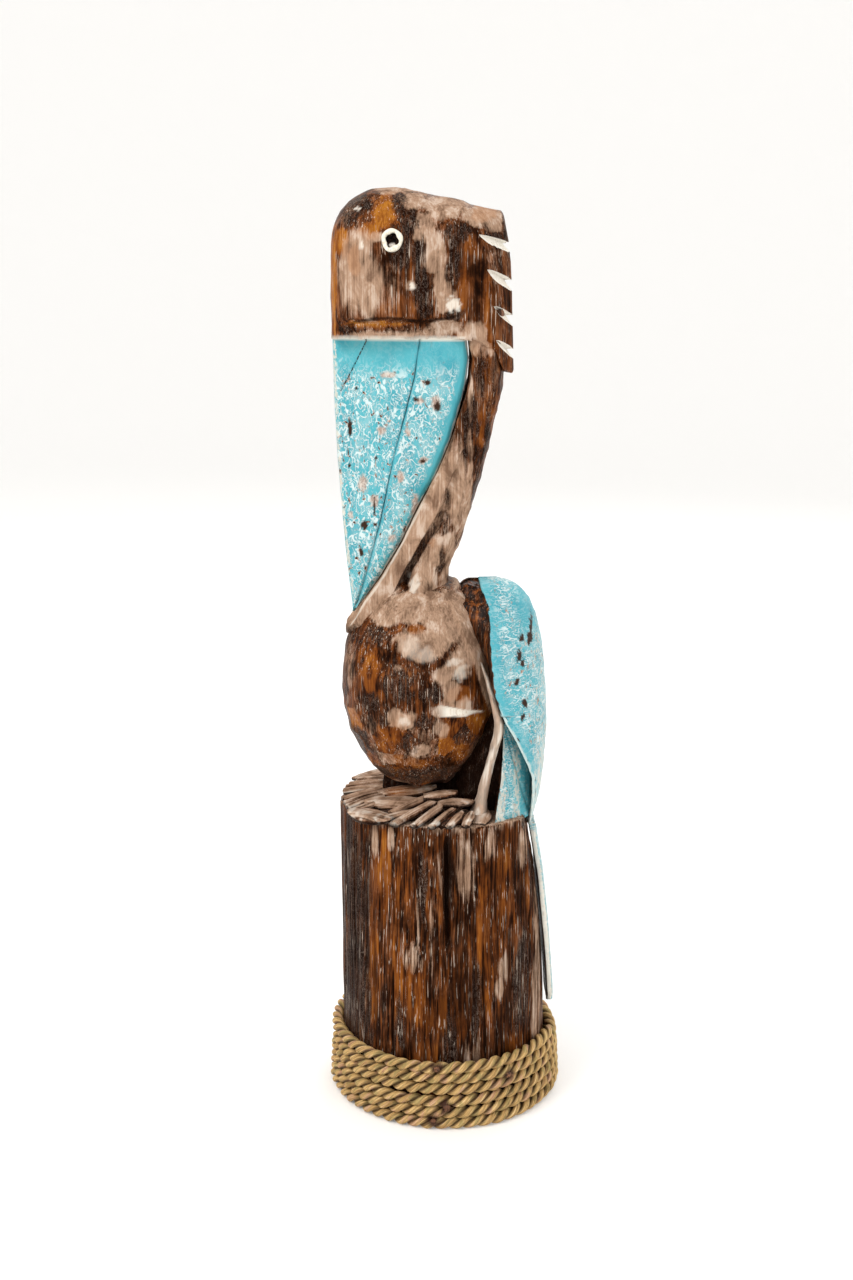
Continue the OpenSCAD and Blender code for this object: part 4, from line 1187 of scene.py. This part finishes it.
def make_eye(cream, dark, side):
    """A hand-cut ring let into the head, round a dark peg with a pale chip in it."""
    word = "left" if side > 0 else "right"
    middle = EYE_MIDDLE * [side, 1, 1]
    middle[0] = side * float(head_half_width(middle[1]) + 0.2)
    turn = np.array(Vector((side, -0.10, 0.16)).normalized().to_track_quat("Z", "Y").to_matrix())
    t = circle(120)

    def placed(points):
        return np.asarray(points) @ turn.T + middle

    def ring_at(r, h):
        return placed(at_height(np.column_stack([r * np.cos(t), r * np.sin(t) * 1.08]), h))

    star = 2.75 + 0.75 * abs(np.cos(2 * t + 0.75)) ** 1.8 + 0.15 * np.sin(3 * t + 2.0)
    outer = 5.35 + 0.16 * np.sin(3 * t + 0.7) + 0.10 * np.sin(5 * t)
    profile = [(3.9, -4), (3.9, -1.9), (star, -1.6), (star + 0.02, 0.1), (star + 0.22, 0.65),
               (star * 0.5 + 2.3, 0.95), (outer - 0.7, 0.9), (outer - 0.2, 0.6), (outer, 0.1), (outer, -4)]
    count, last = len(t), (len(profile) - 1) * len(t)
    faces = loft_faces(len(profile), count)
    faces += [(last + j, last + (j + 1) % count, (j + 1) % count, j) for j in range(count)]
    ring = make_object(f"eye_ring_{word}", np.vstack([ring_at(r, h) for r, h in profile]), faces)
    settle(ring, cream, "eye_paint", f"eye_ring_{word}")
    flat = [(3.8, -4), (3.8, -1.75), (3.3, -1.5), (2.5, -1.2), (1.7, -1.7), (0.7, -2.1)]
    peg = loft(f"eye_peg_{word}", [ring_at(r, h) for r, h in flat], 2)
    chip = placed([(0.1, -2.4, -1.3)])[0]
    masks(peg, dark=smooth(np.linalg.norm(get_points(peg) - chip, axis=1), 1.25, 1.95))
    settle(peg, dark, "dark_wood", f"eye_peg_{word}")


def make_rope(material):
    """Two strands twisted round a path that winds up the log and steps from turn to turn at the back."""
    path_r, step_turn, start = ROPE_OUTER_R - ROPE_R, 60.0, math.radians(150)
    sweep = math.radians(360 * ROPE_TURNS - step_turn - 15)
    count, sides = int(sweep * path_r / 0.95), 12
    a = np.linspace(0, sweep, count)
    turn = np.degrees(a)
    part = (turn % 360 - (360 - step_turn)) / step_turn
    rise = np.floor(turn / 360) + np.where(part > 0, (1 - np.cos(np.pi * part)) / 2, 0)
    row = np.column_stack([a * path_r, np.zeros(count), rise])
    z = ROPE_R + ROPE_PITCH * rise
    z = z + 0.5 * noise(row, (40, 1, 1), 111) * smooth(z, ROPE_R, ROPE_R + 4)
    out = path_r - 1.6 * rise / ROPE_TURNS + 0.35 * noise(row, (33, 1, 1), 112)
    outward = np.column_stack([np.cos(a + start), np.sin(a + start), np.zeros(count)])
    taper = smooth(a, 0, 0.05) * smooth(a, sweep, sweep - 0.05) * 0.6 + 0.4
    t, run = circle(sides), (a * path_r)[:, None]
    points, faces, flow = [], [], []
    for strand in range(2):
        phase = 2 * np.pi * a * path_r / TWIST_PITCH + np.pi * strand + 0.5 * noise(row, (55, 1, 1), 113)
        c, s = np.cos(phase)[:, None], np.sin(phase)[:, None]
        radial, round_way = c * outward + s * UP, c * UP - s * outward
        fat = ((1.0 + 0.13 * noise(row + strand * 71, (5, 1, 1), 114)) * taper)[:, None]
        centre = out[:, None] * outward + z[:, None] * UP + 1.50 * radial
        short, long = (1.85 * fat * np.cos(t))[..., None], (2.15 * fat * np.sin(t))[..., None]
        faces += tube_faces(count, sides, len(points))
        points.extend((centre[:, None] + short * radial[:, None] + long * round_way[:, None]).reshape(-1, 3))
        own = np.broadcast_arrays(run + strand * 500, t * 2.2 + 0.35 * run, strand * 9.0)
        flow.extend(np.stack(own, axis=-1).reshape(-1, 3))
    points, flow = np.array(points), np.array(flow)
    points[:, 2] = most(points[:, 2], 0.02)
    stain = np.zeros(len(points))
    for degrees, height, size in TACKS:
        at = math.radians(degrees)
        spot = np.array([(path_r + 2) * math.cos(at), (path_r + 2) * math.sin(at), height])
        away = np.linalg.norm(points - spot, axis=1) + 1.5 * noise(points, 2.5, 115)
        stain = most(stain, smooth(away, size + 3.4, size + 0.8))
    rope = make_object("rope_wrap", points, faces)
    coordinates(rope, "strand", flow)
    # dark: painted shade on the inner side of each strand, where the two strands meet
    masks(rope, dark=np.tile(np.clip(0.45 - np.cos(t), 0, 1) * 0.81, 2 * count), stain=stain)
    push(rope, 0.16 * rough_noise(flow * [0.4, 1, 1], (6, 0.8, 1), 116, 2))
    p = get_points(rope)
    p[:, 2] = most(p[:, 2], 0.02)
    set_points(rope, p)
    settle(rope, material, "seagrass_rope", "rope_wrap")


def make_tacks(material):
    """Hand-made tack heads on the rope: rough round caps on shanks that run into the log."""
    points, faces, t = [], [], circle(28)
    for k, (degrees, height, size) in enumerate(TACKS):
        a = math.radians(degrees)
        out, side_way = np.array([math.cos(a), math.sin(a), 0]), np.array([-math.sin(a), math.cos(a), 0])
        rough = 1 + 0.07 * np.sin(3 * t + k) + 0.05 * np.sin(5 * t + 2 * k)
        profile = [(0.7, -9), (0.75, -0.6), (size, -0.5), (size * 1.02, -0.1), (size * 0.85, 0.35), (size * 0.4, 0.62)]
        faces += tube_faces(len(profile), len(t), len(points))
        for r, h in profile:
            base = out * (ROPE_OUTER_R - 0.9 + h) + UP * height
            points.extend(base + np.outer(r * rough * np.cos(t), side_way) + np.outer(r * rough * np.sin(t), UP))
    settle(make_object("rope_tacks", points, faces), material, "tack_steel", "rope_tacks")


# ---------------------------------------------------------------- build


def build_bird():
    make_post(stained_wood("post_wood", lines=0.85, warmth=0.52, veil=0.08, streaks=0.52))
    make_torso(stained_wood("torso_wood", lines=0.80, warmth=0.62, veil=0.08, streaks=0.34, shine=0.02))
    make_rump(stained_wood("rump_wood", lines=0.35, warmth=0.0, veil=0.05))
    make_neck(stained_wood("neck_wood", lines=0.40, warmth=0.6, veil=0.25, streaks=0.30))
    head_wood = stained_wood("head_wood", lines=0.70, warmth=0.75, veil=0.22, streaks=0.32)
    make_head(head_wood)
    make_crest(head_wood)
    bill_paint = crackled_paint("bill_paint")
    make_bill_upper(bill_paint)
    make_bill_pouch(bill_paint)
    wing_paint = crackled_paint("wing_paint", worm=(9.0, 9.0, 2.8), chips=0.15)
    leg_wood = stained_wood("leg_wood", lines=0.3, warmth=0.4, veil=0.2)
    foot_wood = stained_wood("foot_wood", lines=0.5, warmth=0.4, veil=0.3, streaks=0.45, flow="flow")
    cream, dark = cream_enamel(), eye_wood()
    for side in (1, -1):
        make_wing(wing_paint, side)
        make_covert(wing_paint, side)
        make_leg(leg_wood, side)
        make_foot(foot_wood, side)
        make_eye(cream, dark, side)
    make_tail(wing_paint)
    make_rope(seagrass())
    make_tacks(rusty_steel())


def build_studio():
    g = Graph("pale_floor", Roughness=0.8, Specular_IOR_Level=0.0, Base_Color=(0.86, 0.855, 0.845, 1),
              Emission_Color=(1, 1, 1, 1), Emission_Strength=0.12)
    turns = np.linspace(0, np.pi / 2, 20)
    profile = [(0.02, 0), (1.2, 0)] + [(3.0 + 1.8 * math.sin(a), 1.8 - 1.8 * math.cos(a)) for a in turns] + [(4.9, 3.2)]
    sides = 128
    points = [(r * math.cos(a), r * math.sin(a), z) for r, z in profile for a in circle(sides)]
    mesh = bpy.data.meshes.new("floor")
    mesh.from_pydata(points, [], loft_faces(len(profile), sides) + [tuple(range(sides))])
    mesh.shade_smooth()
    mesh.materials.append(g.material)
    floor = bpy.data.objects.new("floor", mesh)
    bpy.context.scene.collection.objects.link(floor)
    world = bpy.data.worlds.new("studio")
    world.use_nodes = True
    world.node_tree.nodes["Background"].inputs["Color"].default_value = (1.0, 0.99, 0.975, 1)
    world.node_tree.nodes["Background"].inputs["Strength"].default_value = 0.95
    bpy.context.scene.world = world
    for name, place, size, power, colour in [("key", (0.9, -1.1, 1.5), 0.8, 17, (1.0, 0.97, 0.93)),
                                             ("fill", (1.3, 1.2, 0.9), 1.2, 8, (0.95, 0.98, 1.0)),
                                             ("back", (-1.3, 0.5, 1.4), 1.0, 10, (1.0, 1.0, 1.0))]:
        light = bpy.data.lights.new(name, "AREA")
        light.size, light.energy, light.color = size, power, colour
        lamp = bpy.data.objects.new(name, light)
        lamp.location = place
        lamp.rotation_euler = (Vector((0, 0, 0.27)) - Vector(place)).to_track_quat("-Z", "Y").to_euler()
        bpy.context.scene.collection.objects.link(lamp)


def build_camera():
    data = bpy.data.cameras.new("camera")
    data.sensor_width = 36
    data.lens = 43.74
    camera = bpy.data.objects.new("camera", data)
    camera.location = (0.832, -0.0105, 0.456)
    camera.rotation_euler = (math.radians(90 - 13.247), 0, math.radians(90))
    bpy.context.scene.collection.objects.link(camera)
    bpy.context.scene.camera = camera


build_camera()
build_studio()
build_bird()
bpy.context.scene.view_settings.view_transform = "Standard"
